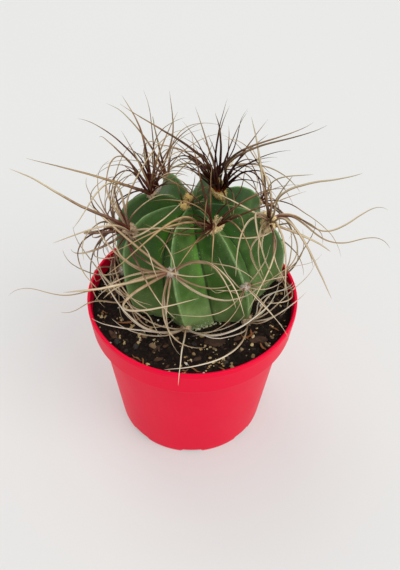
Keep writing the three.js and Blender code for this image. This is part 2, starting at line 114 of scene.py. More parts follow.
# The scattered pieces lie within this distance of the pot's middle, fade out over the last of it,
# and fade in from a little inside the stem's outline.
OPEN_RADIUS = 49.2
OPEN_FADE = 0.8
STEM_FADE = 1.5

# The room between the mix and the pot's floor, and between the mix and its wall.
GAP = 0.3
SIDE_GAP = GAP + 0.15

# The stem's axis, its lean for each millimetre of height, the winding of its ribs, and their ways
# round and girths. They are a fit to the crests traced over the photo, some then changed.
STEM_FOOT = np.array([2.5, 11.8, 78.5])
LEAN = np.array([-0.058, -0.093, 1.0])
TWIST = 14.7
TWIST_MIDDLE = 0.65
AZIMUTH = np.array([-150.8, -106.3, -55.6, -6.7, 33.5, 78.6, 117.7, 169.5])
GIRTH = np.array([1.01, 0.93, 1.006, 1.11, 1.05, 1.02, 0.95, 1.0])
RIB_COUNT = len(AZIMUTH)

# A rib from the soil to the crown: place, radius, height, share cut by the groove, groove's drop.
# The radii and heights are from the same fit.
PROFILE = np.array([
    (0, 34.7, 0, 0.17, 0),
    (0.16, 38.4, 8.6, 0.25, 0),
    (0.34, 39.7, 24.6, 0.32, 0),
    (0.5, 38.2, 36.6, 0.36, 1),
    (0.68, 34.8, 47.6, 0.41, 4),
    (0.84, 24.2, 58.7, 0.43, 7),
    (0.94, 8.3, 59.8, 0.35, 4),
    (1, 0, 54, 0, 0),
])
ROOT = ((3, -44), (7, -34), (12, -20), (17, -10), (25, -3.5))

# Places across half a rib, closest at its crest.
ACROSS = (0, 0.018, 0.034, 0.05, 0.07, 0.1, 0.15, 0.22, 0.3, 0.4, 0.52, 0.64, 0.76, 0.87, 0.95)

# The skin faces away from a point of the axis at this share of its own height.
OUTWARD_RISE = 0.4

# The stem's finer relief in millimetres: its unevenness and the size of that, the crease along a
# groove and the ridge along a crest, with their widths as shares of half a rib.
TOP_ROW = 0.988
UNEVEN = 0.45
UNEVEN_SIZE = 13
CREASE_DEPTH = 0.8
CREASE_WIDTH = 0.045
RIDGE_HEIGHT = 0.3
RIDGE_WIDTH = 0.04

# Rules for laying spines.
PATH_STEPS = 24
FINE_STEPS = 44
SUNK_ROOT = 1.1
ROOT_HEIGHT = 1
ROOT_SPREAD = 0.3
STEM_ROOM = 1.3
ROOT_ROOM = 0.9
SPINE_ROOM = 1.7
OWN_ROOM = 1.5
OWN_START = 6
OWN_TESTS = [9, 13, 17, 21]
SPINE_FLOOR = 80.3
SPINE_SOIL_RADIUS = 50
POT_ROOM = 1.3
BEND_TRIES = 60
TRY_TURN = 0.6
TRY_SHORTER = 0.004
LEAST_TILT = 8
MOST_TILT = 88

# The first seeds of the draws for each kind of spine, and the step from one areole to the next.
STANDOUT_SEED = 500
FILL_SEED = 1000
CROWN_SEED = 3000
LOOPS_SEED = 4000
TUFTS_SEED = 5000
LISTED_STEP = 20
FILL_STEP = 37

# A spine's tip beside its root, and how much slimmer its heel is, over which share of its length.
BLUNT_TIP = 0.035
HEEL = 0.15
HEEL_REACH = 0.03

# Ages of areoles, and two more looks of their spines.
YOUNG, GROWN, OLD, BLEACHED, EMBER = 0, 1, 2, 3, 4

# By an areole's age: its felt's height beside its width, and its spines' width and power of taper.
FELT_HEIGHT = (0.62, 0.72, 0.62)
GIRTHS = ((1.0, 0.72), (0.98, 0.52), (0.92, 0.48))

# Areoles: rib, place up the rib, number of spines, the felt's width, age, and the felt's wool.
AREOLES = {
    "areole_r1_low": (0, 0.23, 7, 4.6, OLD, "tan"),
    "areole_r1_top": (0, 0.75, 12, 6.2, GROWN, "tan"),
    "areole_r2_low": (1, 0.09, 8, 4.8, OLD, "tan"),
    "areole_r2_mid": (1, 0.62, 11, 5.6, GROWN, "grey"),
    "areole_r3_low": (2, 0.06, 8, 4.6, OLD, "tan"),
    "areole_r3_mid": (2, 0.455, 8, 4.6, OLD, "grey"),
    "areole_r3_top": (2, 0.87, 11, 6.6, YOUNG, "cream"),
    "areole_r4_low": (3, 0.13, 8, 4.6, OLD, "tan"),
    "areole_r4_top": (3, 0.74, 12, 6.2, GROWN, "cream"),
    "areole_r5_low": (4, 0.24, 7, 4.6, OLD, "grey"),
    "areole_r5_mid": (4, 0.55, 9, 5.2, GROWN, "tan"),
    "areole_r5_top": (4, 0.91, 13, 7.4, YOUNG, "yellow"),
    "areole_r6_low": (5, 0.28, 7, 4.8, OLD, "grey"),
    "areole_r6_top": (5, 0.7, 10, 5.8, GROWN, "tan"),
    "areole_r7_low": (6, 0.17, 7, 4.6, OLD, "grey"),
    "areole_r7_mid": (6, 0.52, 8, 5.2, GROWN, "grey"),
    "areole_r7_top": (6, 0.74, 8, 5.4, YOUNG, "tan"),
    "areole_r8_low": (7, 0.14, 7, 4.6, OLD, "grey"),
    "areole_r8_mid": (7, 0.5, 10, 5, GROWN, "tan"),
    "areole_r8_top": (7, 0.875, 13, 6.8, YOUNG, "tan"),
}

# The young felts at the crown: rib, place up the rib and number of spines.
CROWN = ((6, 0.964, 2), (7, 0.978, 1), (0, 0.968, 2))
CROWN_FELT = (4.2, 3.4)
CROWN_TILT = 35
CROWN_LENGTH = 12
CROWN_BEND = 30
CROWN_GIRTH = (0.72, 0.5)

# How far the felts' cushions rise, and those of the crown and of the little tall tufts.
FELT_DEPTH = 2.2
CROWN_DEPTH = 1.6
CROWN_SHARE = 0.9
TALL_DEPTH = 29
TALL_SHARE = 0.2

# The spines that stand out on the real plant, as fan, tilt, length, bend, roll and sway. The fan
# turns from up the crest, the tilt leans away from straight out, the bend is the whole turn from
# root to tip, the roll is its way (0 is back towards the stem) and the sway adds an S. They are fits
# to paths traced over the photo, rounded, and some then changed.
STANDOUT = {
    "areole_r1_top": (
        (40, 35, 80, 35, 175, 15), (60, 30, 50, 50, -140, -15), (10, 40, 65, 75, -135, -30),
    ),
    "areole_r8_top": (
        (85, 50, 80, 55, -105, -5), (-85, 55, 50, 35, 95, 5), (-60, 45, 50, 50, -170, -10),
        (65, 40, 45, 60, -160, -5), (60, 30, 50, 55, 130, -5), (130, 25, 60, 90, 30, -40),
        (125, 25, 50, 150, 0, -40),
    ),
    "areole_r5_top": (
        (-25, 30, 80, 50, -90, -30), (-55, 35, 55, 55, -155, -5), (125, 45, 45, 50, 15, -15),
        (120, 55, 45, 45, -60, 20), (-115, 35, 75, 10, 55, -40), (-110, 35, 80, 25, 60, -40),
        (15, 30, 55, 65, 50, -20),
    ),
    "areole_r4_top": (
        (-20, 55, 55, 55, -85, 15), (-35, 35, 70, 25, 155, -25), (125, 55, 90, 55, -55, 40),
        (125, 55, 80, 80, -75, 40), (-60, 50, 70, 70, 80, -25), (0, 55, 50, 60, 150, -15),
        (-25, 80, 55, 85, 75, -5), (-70, 85, 55, 10, 135, -20), (-75, 70, 55, 65, 20, -15),
    ),
    "areole_r3_top": (
        (30, 70, 45, 65, -60, 35), (-125, 35, 45, 60, -170, 5), (-90, 50, 35, 55, 25, 0),
        (-110, 60, 90, 10, -5, -30),
    ),
    "areole_r2_mid": (
        (45, 75, 70, 80, -145, 0), (40, 80, 55, 70, -130, 10), (-180, 50, 20, 45, 160, 0),
        (-55, 50, 45, 50, 170, 0), (-60, 30, 70, 25, -115, -5), (-90, 30, 80, 130, -160, -15),
    ),
    "areole_r2_low": (
        (-35, 75, 55, 55, -30, 0), (-15, 65, 70, 65, 10, -5), (15, 60, 40, 45, -175, -5),
        (70, 65, 40, 70, 25, 10), (55, 70, 55, 70, -15, -5),
    ),
    "areole_r3_low": (
        (-35, 65, 65, 75, 45, -5), (30, 85, 50, 25, 35, 30),
    ),
    "areole_r3_mid": (
        (-75, 50, 40, 80, -70, 25), (130, 70, 50, 60, 40, 25),
    ),
    "areole_r1_low": (
        (55, 40, 45, 45, 100, 25), (-70, 80, 70, 80, 145, 30),
    ),
}

# Spines that loop over the front of the stem, laid after the others, with the same settings,
# from fits made in the same way.
LOOPS = {
    "areole_r2_mid": (
        (50, 75, 60, 75, -140, -5), (100, 55, 45, 45, 90, 0), (110, 55, 65, 70, 95, 0),
        (-50, 50, 40, 45, 170, 5), (-75, 50, 40, 50, -170, 0),
    ),
    "areole_r4_top": (
        (-25, 80, 60, 75, 80, -5), (-35, 85, 50, 75, 95, 10), (-60, 88, 60, 30, 135, 0),
        (-90, 65, 45, 30, 5, 20),
    ),
    "areole_r1_top": (
        (55, 65, 45, 60, 5, 0), (45, 88, 55, 65, -110, 0), (90, 80, 40, 5, 90, 15),
        (-120, 70, 30, 100, 45, -20), (-60, 60, 35, 75, 10, -15), (-15, 40, 45, 55, -70, -10),
    ),
    "areole_r3_top": (
        (-115, 45, 75, 55, -20, -5), (-115, 65, 40, 55, -100, -5), (-120, 55, 35, 55, -5, -5),
        (-125, 60, 35, 55, -65, 0),
    ),
    "areole_r1_low": (
        (75, 75, 45, 45, 10, 25),
    ),
    "areole_r2_low": (
        (-40, 60, 45, 70, -20, 0), (-20, 65, 50, 60, 0, 0), (70, 60, 40, 65, 30, 5),
    ),
    "areole_r3_low": (
        (10, 70, 40, 55, -65, -5), (15, 80, 45, 35, -25, 30), (-5, 75, 40, 55, -80, -10),
    ),
    "areole_r3_mid": (
        (35, 65, 35, 20, 95, -5), (155, 50, 30, 50, -10, 0), (-45, 60, 20, 55, 10, 0),
    ),
    "areole_r5_top": (
        (85, 60, 40, 80, 20, -10), (155, 65, 40, 85, -25, -15), (-115, 35, 50, 70, -35, -20),
    ),
}

# Finer spines that fill out the densest tufts, as a number, tilt, length and bend.
TUFTS = {
    "areole_r5_top": (26, 14, 32, 56),
    "areole_r8_top": (7, 20, 25, 95),
    "areole_r3_top": (4, 26, 40, 50),
    "areole_r1_top": (5, 50, 38, 120),
    "areole_r4_top": (3, 50, 40, 110),
    "areole_r8_mid": (4, 50, 38, 130),
    "areole_r5_mid": (2, 48, 40, 110),
}

# Areoles that look older or younger than they are: the age of their spines' finish, the share of
# felt that each has kept, how strong its spines are and how much paler than the rest.
WEATHERED = {
    "areole_r1_low": (OLD, 0.6, 1.0, 0.0),
    "areole_r1_top": (GROWN, 1.2, 1.0, -0.12),
    "areole_r2_low": (BLEACHED, 0.9, 1.12, 0.1),
    "areole_r2_mid": (OLD, 0.9, 1.1, -0.12),
    "areole_r3_low": (BLEACHED, 1.0, 1.0, -0.1),
    "areole_r3_mid": (OLD, 0.8, 0.66, 0.0),
    "areole_r3_top": (YOUNG, 1.1, 1.0, 0.1),
    "areole_r4_top": (GROWN, 1.5, 1.1, 0.12),
    "areole_r5_mid": (GROWN, 0.6, 0.9, 0.0),
    "areole_r5_top": (EMBER, 1.1, 1.12, -0.22),
    "areole_r7_top": (GROWN, 0.8, 0.9, 0.1),
    "areole_r8_top": (YOUNG, 0.75, 1.05, 0.06),
}

# Little tufts of wool that stand among the roots of the spines, as places across and up the areole.
TALL_TUFTS = {
    "areole_r3_top": ((-2.7, 0.9), (-0.9, -1.1), (0.5, 0.6), (2.1, -0.9)),
    "areole_r5_top": ((-2.6, -1.2), (-0.6, -1.6), (1.4, -1.4), (2.9, -0.9)),
}

# The middle tilt, length and bend of the other spines, by the areole's age.
SPREAD = ((24, 42, 92), (52, 50, 104), (64, 40, 80))

# How far a spine's fan, tilt, length, bend, roll and sway are drawn each way of their middles.
SPREAD_WIDTHS = (18, 14, 12, 30, 70, 14)
TUFT_WIDTHS = (30, 12, 10, 24, 80, 16)

# Larger pieces seen in the mix, as x, y and size in millimetres.
LARGE_GRIT = (
    (-23, -24, 3.4), (-18, -30, 3.8), (-14, -25, 3), (39, -22, 3), (37, -27, 3.2), (11.5, -31, 2.4),
    (-34.6, -13, 2.2), (-45, -9, 1.8),
)
LARGE_PEBBLES = ((-36, -27, 4.0), (-26.5, -29, 4.8), (-31, -33, 3.0))
LARGE_BARK = (
    (-14, -33, 6.5), (11, -27, 7), (32.5, -24, 6), (-40, 3, 6), (-43, 16, 5.5), (-34, 24, 5),
)
LARGE_PERLITE = ((34.6, -2.4, 2.4), (-2, -40, 1.3))

# Larger dry scraps, as x, y, length and turn.
LARGE_SCRAPS = ((27.5, -23.2, 6.5, 20), (29, -22, 5.5, 95), (25.6, -24.4, 5, -40), (-30, -15.5, 15, 12))

# The other scraps: their number, the middle and spread of their distance from the pot's middle, of
# their length, curl and width, and how high they lie.
SCRAP_COUNT = 14
SCRAP_AWAY = (44.5, 2.6)
SCRAP_LENGTH = (5, 2.5)
SCRAP_CURL = (0.25, 0.2)
SCRAP_WIDTH = (0.55, 0.2)
SCRAP_LIFT = 0.9

# Heaps of small cream crumbs in the mix, as x, y and number, their radius and the crumbs' sizes.
HEAP_RADIUS = 2.6
SAND_SIZES = (0.55, 1.85)
SAND_HEAPS = (
    (12, -34.5, 13), (14.5, -38, 12), (9, -40.5, 9), (6.8, -31.4, 6), (-17.5, -28, 9),
    (-24, -23.5, 7), (38.5, -20.5, 8), (-35, -14, 5), (-45, -11, 5), (-1.5, -38, 8),
    (26, -23.5, 5), (-13, -32.5, 6), (0, -31, 5), (34.5, -3, 5),
)

# The way round the stem to the scarred skin along its foot, in degrees, how far its flakes spread
# each way, their number, and the middle and spread of how far out they lie and of their sizes.
SCAR_AZIMUTH = -82
SCAR_REACH = 17
SCAR_COUNT = 46
SCAR_AWAY = (0.5, 0.9)
SCAR_SIZE = (0.85, 0.4)

# The view: the photo's height and focal length in pixels, the sensor in millimetres, the camera's
# tilt and roll in degrees, and its distance and the point that it looks at in metres.
PICTURE_HEIGHT = 570
FOCAL_PIXELS = 800
SENSOR = 36
VIEW_TILT = 45.5
VIEW_ROLL = 1.4
VIEW_DISTANCE = 0.3966
VIEW_MIDDLE = Vector((0.00362, 0, 0.0896))
FLOOR_REACH = 1.6

# The lamps' sizes and places, and the point that they look at, in metres.
WINDOW_SIZE = 2.6
WINDOW_PLACE = (2.1, -1.6, 3.2)
FILL_SIZE = 1.8
FILL_PLACE = (-0.9, 1.7, 3.0)
LAMP_AIM = Vector((0, 0, 0.08))


def paint(code):
    """A linear colour from its usual six-figure code."""
    parts = [int(code[k:k + 2], 16) / 255 for k in (0, 2, 4)]
    return tuple(p / 12.92 if p <= 0.04045 else ((p + 0.055) / 1.055) ** 2.4 for p in parts) + (1.0,)


def dimmed(tint, by):
    """A colour made darker, or lighter with a share above 1."""
    return tuple(min(1.0, by * part) for part in tint[:3]) + (1.0,)


def blend(first, second, share=0.5):
    """A colour between two others."""
    return tuple((1 - share) * a + share * b for a, b in zip(first, second))


def colour(name, code, about):
    """A colour property."""
    return FloatVectorProperty(
        name=name, description=about, default=paint(code), size=4, subtype="COLOR", min=0, max=1
    )


def measure(name, metres, about):
    """A length property."""
    return FloatProperty(name=name, description=about, default=metres, unit="LENGTH")


def power(name, watts, about):
    """A light's power property."""
    return FloatProperty(name=name, description=about, default=watts, unit="POWER")


def number(name, value, about, **limits):
    """A plain number property."""
    return FloatProperty(name=name, description=about, default=value, **limits)


def whole(name, value, about, **limits):
    """A whole number property."""
    return IntProperty(name=name, description=about, default=value, **limits)


class PotSettings(bpy.types.PropertyGroup):
    """The nursery pot's finish."""

    plastic: colour("Plastic", "F8053A", "Colour of the moulded plastic")
    grime: colour("Grime", "3A2419", "Colour of the mix that clings to the inside wall")
    roughness: number("Roughness", 0.42, "How satin the plastic is", min=0, max=1)
    lip_rounding: measure("Lip rounding", 0.0007, "Radius of the rim's edges")
    sides: whole("Sides", 192, "Sides of the turned wall", min=48)


class MixSettings(bpy.types.PropertyGroup):
    """The potting mix and what lies in it."""

    peat_dark: colour("Dark peat", "0B0705", "Colour of the damp peat")
    peat_light: colour("Light peat", "291B13", "Colour of the dry peat fibres")
    grit: colour("Grit", "C9AC75", "Colour of the beige grit")
    perlite: colour("Perlite", "E4DFD3", "Colour of the perlite")
    bark: colour("Bark", "5E3E28", "Colour of the bark")
    pebble: colour("Pebble", "332C27", "Colour of the dark stones")
    scrap: colour("Scrap", "A8693A", "Colour of the dry scraps")
    relief: measure("Relief", 0.0011, "Height of the lumps in the peat")
    crumbs: number("Crumbs", 620000, "Crumbs on each square metre", min=0)
    stones: number("Stones", 52000, "Pieces of grit on each square metre", min=0)
    seed: whole("Seed", 7, "Draw of the scattered pieces")


class StemSettings(bpy.types.PropertyGroup):
    """The stem's shape and skin."""

    skin: colour("Skin", "2F5120", "Colour of the shaded skin")
    # The fresh colour also serves as painted light on the right-facing flanks of the ribs.
    fresh: colour("Fresh skin", "507528", "Colour of the fresh skin up the ribs")
    # The groove colour is the young skin's own, laid on with painted light and shade.
    groove: colour("Groove", "47861C", "Colour of the young skin in the grooves")
    # The bright groove colour is painted light on the right-facing sides of the grooves.
    bright: colour("Bright groove", "5FA52B", "Colour of the sunlit side of the grooves")
    # The crest colour is a pale line that is partly a painted highlight.
    crest: colour("Crest", "90B072", "Colour of the line along each crest")
    # The cork colour is the old skin's own, and also serves as painted light low on the right-facing flanks.
    cork: colour("Cork", "8AA868", "Colour of the old skin at the soil")
    fleck: colour("Fleck", "E6E6D8", "Colour of the woolly flecks")
    face_swell: measure("Face swell", 0.0006, "How far a rib's face swells")
    crest_rounding: number(
        "Crest rounding", 0.045, "Share of a face that its crest is rounded over", min=0.001, max=0.3
    )
    rows: whole("Rows", 112, "Rows of faces up a rib", min=20)
    flecks: number("Flecks", 420000, "Woolly flecks on each square metre", min=0)


class SpineSettings(bpy.types.PropertyGroup):
    """The spines' size and colours."""

    width: measure("Width", 0.0014, "Width of a spine at its root")
    flatness: number("Flatness", 0.6, "Thickness beside the width", min=0.1, max=1)
    waviness: measure("Waviness", 0.0009, "How far a spine wanders")
    wave: measure("Wave", 0.017, "Length of a spine's wanderings")
    sides: whole("Sides", 8, "Sides of a spine", min=3)
    young_root: colour("Young root", "461A14", "Root of a young spine")
    ember_root: colour("Ember root", "34120E", "Root of the newest spines")
    young_tip: colour("Young tip", "B0946C", "Tip of a young spine")
    grown_root: colour("Grown root", "5E3024", "Root of a grown spine")
    grown_tip: colour("Grown tip", "D4C29E", "Outer part of a grown spine")
    old_root: colour("Old root", "A48869", "Root of an old spine")
    old_tip: colour("Old tip", "D8C4A3", "Outer part of an old spine")
    bleached_root: colour("Bleached root", "BDA586", "Root of a bleached spine")
    bleached_tip: colour("Bleached tip", "E6D8C0", "Outer part of a bleached spine")


class FeltSettings(bpy.types.PropertyGroup):
    """The wool of the areoles."""

    yellow: colour("Yellow wool", "DFC074", "Wool of the youngest areoles")
    cream: colour("Cream wool", "EBD19C", "Wool of the young areoles")
    tan: colour("Tan wool", "CBB08F", "Wool of the grown areoles")
    grey: colour("Grey wool", "D6C5B6", "Wool of the old areoles")
    fibre_length: measure("Fibre length", 0.0008, "Length of a wool fibre")
    fibre_width: measure("Fibre width", 0.00012, "Width of a wool fibre")
    density: number("Fibres", 6500000, "Fibres on each square metre", min=0)


class StageSettings(bpy.types.PropertyGroup):
    """The floor, the light and the view."""

    floor: colour("Floor", "AEAEAC", "Colour of the pale floor")
    sky: number("Sky", 0.8, "Strength of the light all round")
    window: power("Window", 74.0, "Power of the large soft light")
    fill: power("Fill", 24.0, "Power of the soft light behind")


class CactusSettings(bpy.types.PropertyGroup):
    """All the settings of the potted cactus."""

    pot: PointerProperty(type=PotSettings)
    mix: PointerProperty(type=MixSettings)
    stem: PointerProperty(type=StemSettings)
    spine: PointerProperty(type=SpineSettings)
    felt: PointerProperty(type=FeltSettings)
    stage: PointerProperty(type=StageSettings)


# The growing rule.


class Draws:
    """A seeded draw, so that every run grows the same plant."""

    def __init__(self, seed):
        self.state = seed

    def next(self):
        self.state = (self.state * 1664525 + 1013904223) & 0xFFFFFFFF
        return self.state / 4294967296

    def about(self, middle, spread):
        return middle + spread * (2 * self.next() - 1)


def unit(vector):
    """Vectors of length 1."""
    return vector / np.linalg.norm(vector, axis=-1, keepdims=True)


def profile_at(u):
    """The profile's radius, height, cut and drop at u, on a smooth curve through its rows."""
    u = np.asarray(u, float)
    last = len(PROFILE) - 1
    i = np.clip(np.searchsorted(PROFILE[:, 0], u) - 1, 0, last - 1)
    before, start = PROFILE[np.maximum(i - 1, 0)], PROFILE[i]
    end, after = PROFILE[i + 1], PROFILE[np.minimum(i + 2, last)]
    span = (end - start)[..., :1]
    t = (u[..., None] - start[..., :1]) / span
    slope_start = (end - before) / (end - before)[..., :1]
    slope_end = (after - start) / (after - start)[..., :1]
    at = (
        (2 * t**3 - 3 * t**2 + 1) * start
        + (t**3 - 2 * t**2 + t) * span * slope_start
        + (3 * t**2 - 2 * t**3) * end
        + (t**3 - t**2) * span * slope_end
    )
    return [at[..., k] for k in range(1, 5)]


def from_axis(radius, height, azimuth):
    """A point of the plant by its distance from the stem's axis."""
    round_axis = np.stack([np.cos(azimuth), np.sin(azimuth), 0 * azimuth], -1)
    return STEM_FOOT + LEAN * np.asarray(height)[..., None] + np.asarray(radius)[..., None] * round_axis


def rib_azimuth(rib, u):
    """The way round the stem to a rib's crest; rib 8 is rib 0 again, a whole turn on."""
    rib = np.asarray(rib)
    turns = rib // RIB_COUNT
    return np.radians(AZIMUTH[rib % RIB_COUNT] + 360 * turns + TWIST * (TWIST_MIDDLE - u))


def crest(rib, u):
    """A point on a rib's crest."""
    radius, height, _, _ = profile_at(u)
    return from_axis(radius * GIRTH[np.asarray(rib) % RIB_COUNT], height, rib_azimuth(rib, u))


def groove(rib, u):
    """A point in the groove between a rib and the next."""
    rib = np.asarray(rib)
    radius, height, cut, drop = profile_at(u)
    girth = (GIRTH[rib % RIB_COUNT] + GIRTH[(rib + 1) % RIB_COUNT]) / 2
    azimuth = (rib_azimuth(rib, u) + rib_azimuth(rib + 1, u)) / 2
    return from_axis(radius * girth * (1 - cut), height - drop, azimuth)


def face(rib, u, across, swell=0.6, rounding=0.0):
    """A point on a rib's face: across is -1 and 1 at its grooves and 0 at its crest."""
    rib, u, across = np.broadcast_arrays(rib, np.asarray(u, float), np.asarray(across, float))
    top = crest(rib, u)
    foot = groove(np.where(across > 0, rib, rib - 1), u)
    share = np.abs(across)
    height = profile_at(u)[1]
    middle = np.broadcast_to(STEM_FOOT, top.shape) + np.array([0, 0, OUTWARD_RISE]) * height[..., None]
    out = unit(top - middle)
    bulge = swell * np.sin(np.pi * share) * np.minimum(1, 6 * (1 - u))
    if rounding:
        fall = np.sum((top - foot) * out, -1)
        bulge = bulge - fall * (np.sqrt(share**2 + rounding**2) - share)
    return top + (foot - top) * share[..., None] + out * bulge[..., None]


def footing(rib, u, width, height):
    """An areole's place on its rib, the ways out, up the crest and across it, and its felt's size."""
    up = unit(crest(rib, u + 0.01) - crest(rib, u - 0.01))
    azimuth = rib_azimuth(rib, u)
    out = unit(np.cross([-math.sin(azimuth), math.cos(azimuth), 0], up))
    return {
        "place": crest(rib, u), "out": out, "up": up, "across": np.cross(up, out),
        "width": width, "height": height,
    }


def spine_path(foot, settings, steps=PATH_STEPS):
    """The middle line of a spine, and the way its flat side faces."""
    fan, tilt, _, bend, roll, sway = (math.radians(value) for value in settings)
    length = settings[2]
    side = math.cos(fan) * foot["up"] + math.sin(fan) * foot["across"]
    start = math.cos(tilt) * foot["out"] + math.sin(tilt) * side
    back = -unit(foot["out"] - (foot["out"] @ start) * start)
    bent = math.cos(roll) * back + math.sin(roll) * np.cross(start, back)
    at = foot["place"] + ROOT_HEIGHT * foot["out"]
    at = at + ROOT_SPREAD * foot["height"] * math.cos(fan) * foot["up"]
    at = at + ROOT_SPREAD * foot["width"] * math.sin(fan) * foot["across"]
    t = (np.arange(steps) + 0.5) / steps
    angle = bend * t + sway * np.sin(2 * math.pi * t)
    moves = np.cos(angle)[:, None] * start + np.sin(angle)[:, None] * bent
    points = np.vstack([at, at + np.cumsum(moves * length / steps, axis=0)])
    return points, unit(np.cross(start, bent))


def stem_tests():
    """Places spread over the stem, each with its outward way, to keep spines clear of it."""
    rib, across, row = np.meshgrid(
        np.arange(RIB_COUNT), [-1, -2 / 3, -1 / 3, 0, 1 / 3, 2 / 3], np.arange(22), indexing="ij"
    )
    u = 0.99 * row / 21
    up = face(rib, np.minimum(u + 0.01, 1), across) - face(rib, np.maximum(u - 0.01, 0), across)
    beside = np.where((across > -1)[..., None], face(rib, u, across - 0.1), face(rib - 1, u, 0.9))
    out = unit(np.cross(face(rib, u, across + 0.1) - beside, up))
    return face(rib, u, across).reshape(-1, 3), out.reshape(-1, 3)


class SpineLayer:
    """Lays spines one by one, each clear of the stem, the pot and the spines of other areoles."""

    def __init__(self):
        self.places, self.ways = stem_tests()
        self.laid = []

    def clear_of_stem(self, points):
        apart = np.linalg.norm(points[:, None] - self.places, axis=2)
        nearest = apart.argmin(1)
        height = np.sum((points - self.places[nearest]) * self.ways[nearest], 1)
        room = np.full(len(points), STEM_ROOM)
        room[:4] = ROOT_ROOM
        room[0] = 0
        return bool((np.minimum(height, apart.min(1)) >= room).all())

    def clear_of_pot(self, points):
        r, z = np.hypot(points[:, 0], points[:, 1]), points[:, 2]
        low = (np.arange(len(points)) > 2) & (r < SPINE_SOIL_RADIUS) & (z < SPINE_FLOOR)
        above = z > POT_HEIGHT + POT_ROOM
        inside = (r < SPINE_SOIL_RADIUS) & (r < INNER_RIM - POT_ROOM)
        outside = (r >= SPINE_SOIL_RADIUS) & (r > RIM_RADIUS + POT_ROOM) & (z > 2)
        return not low.any() and bool((above | inside | outside).all())

    def clear_of_own(self, points, owner):
        own = [other[OWN_START:] for laid_by, other in self.laid if laid_by == owner]
        if not own:
            return True
        apart = np.linalg.norm(points[OWN_TESTS][:, None] - np.vstack(own), axis=2)
        return bool((apart >= OWN_ROOM).all())

    def clear_of_spines(self, points, owner):
        low, high = points.min(0) - 2 * SPINE_ROOM, points.max(0) + 2 * SPINE_ROOM
        near = [
            other for own, other in self.laid
            if own != owner and (other.min(0) <= high).all() and (other.max(0) >= low).all()
        ]
        if not near:
            return True
        middles = (points[1:] + points[:-1]) / 2
        tests = np.vstack([points[2:], middles[2:]])
        start = np.vstack([other[:-1] for other in near])
        along = np.vstack([other[1:] for other in near]) - start
        for test in tests:
            away = test - start
            t = np.clip(np.sum(away * along, 1) / np.sum(along * along, 1), 0, 1)
            if np.linalg.norm(away - t[:, None] * along, axis=1).min() < SPINE_ROOM:
                return False
        return True

    def lay(self, owner, foot, settings, draws):
        """The settings that a spine ends up with, turned a little further at each try, or none."""
        fan, tilt, length, bend, roll, sway = settings
        for k in range(BEND_TRIES):
            by = TRY_TURN * k
            turned = [draws.about(fan, by), min(MOST_TILT, max(LEAST_TILT, draws.about(tilt, by)))]
            turned += [length * (1 - TRY_SHORTER * k), draws.about(bend, by)]
            turned += [draws.about(roll, 2 * by), sway]
            points, _ = spine_path(foot, turned)
            if not self.clear_of_stem(points) or not self.clear_of_pot(points):
                continue
            if self.clear_of_own(points, owner) and self.clear_of_spines(points, owner):
                self.laid.append((owner, points))
                return [turned]
        return []


def drawn(fan, middles, widths, draws):
    """A spine's settings, drawn about the middle tilt, length and bend of its kind."""
    return [draws.about(middle, width) for middle, width in zip((fan, *middles, 0, 0), widths)]


def grow_spines():
    """Every areole's foot and the settings of its spines, and the same for the crown."""
    layer, names = SpineLayer(), list(AREOLES)
    feet = [footing(rib, u, felt, felt * FELT_HEIGHT[age]) for rib, u, _, felt, age, _ in AREOLES.values()]
    spines = [[] for _ in names]

    def lay_listed(table, seed):
        for owner, name in enumerate(names):
            for k, settings in enumerate(table.get(name, ())):
                spines[owner] += layer.lay(
                    owner, feet[owner], settings, Draws(seed + LISTED_STEP * owner + k)
                )

    lay_listed(STANDOUT, STANDOUT_SEED)
    for owner, (_, _, count, _, age, _) in enumerate(AREOLES.values()):
        draws = Draws(FILL_SEED + FILL_STEP * owner)
        for k in range(len(spines[owner]), count):
            settings = drawn(360 * (k / count), SPREAD[age], SPREAD_WIDTHS, draws)
            spines[owner] += layer.lay(owner, feet[owner], settings, draws)
    crown = []
    for k, (rib, u, count) in enumerate(CROWN):
        foot, draws, own = footing(rib, u, *CROWN_FELT), Draws(CROWN_SEED + k), []
        for j in range(count):
            length, roll = draws.about(CROWN_LENGTH, 3), draws.about(0, 90)
            settings = [360 * j / count + 40, CROWN_TILT, length, CROWN_BEND, roll, 0]
            own += layer.lay(len(names), foot, settings, draws)
        crown.append((foot, own))
    lay_listed(LOOPS, LOOPS_SEED)
    for owner, name in enumerate(names):
        count, *middles = TUFTS.get(name, (0, 0, 0, 0))
        draws = Draws(TUFTS_SEED + owner)
        for k in range(count):
            settings = drawn(360 * k / count, middles, TUFT_WIDTHS, draws)
            spines[owner] += layer.lay(owner, feet[owner], settings, draws)
    return {name: (feet[k], spines[k]) for k, name in enumerate(names)}, crown


# Making trees of nodes.


def socket(sockets, key):
    """A node's socket by its identifier, or else by its name."""
    for item in sockets:
        if item.identifier == key:
            return item
    for item in sockets:
        if item.name == key and item.enabled:
            return item
    raise KeyError(key)


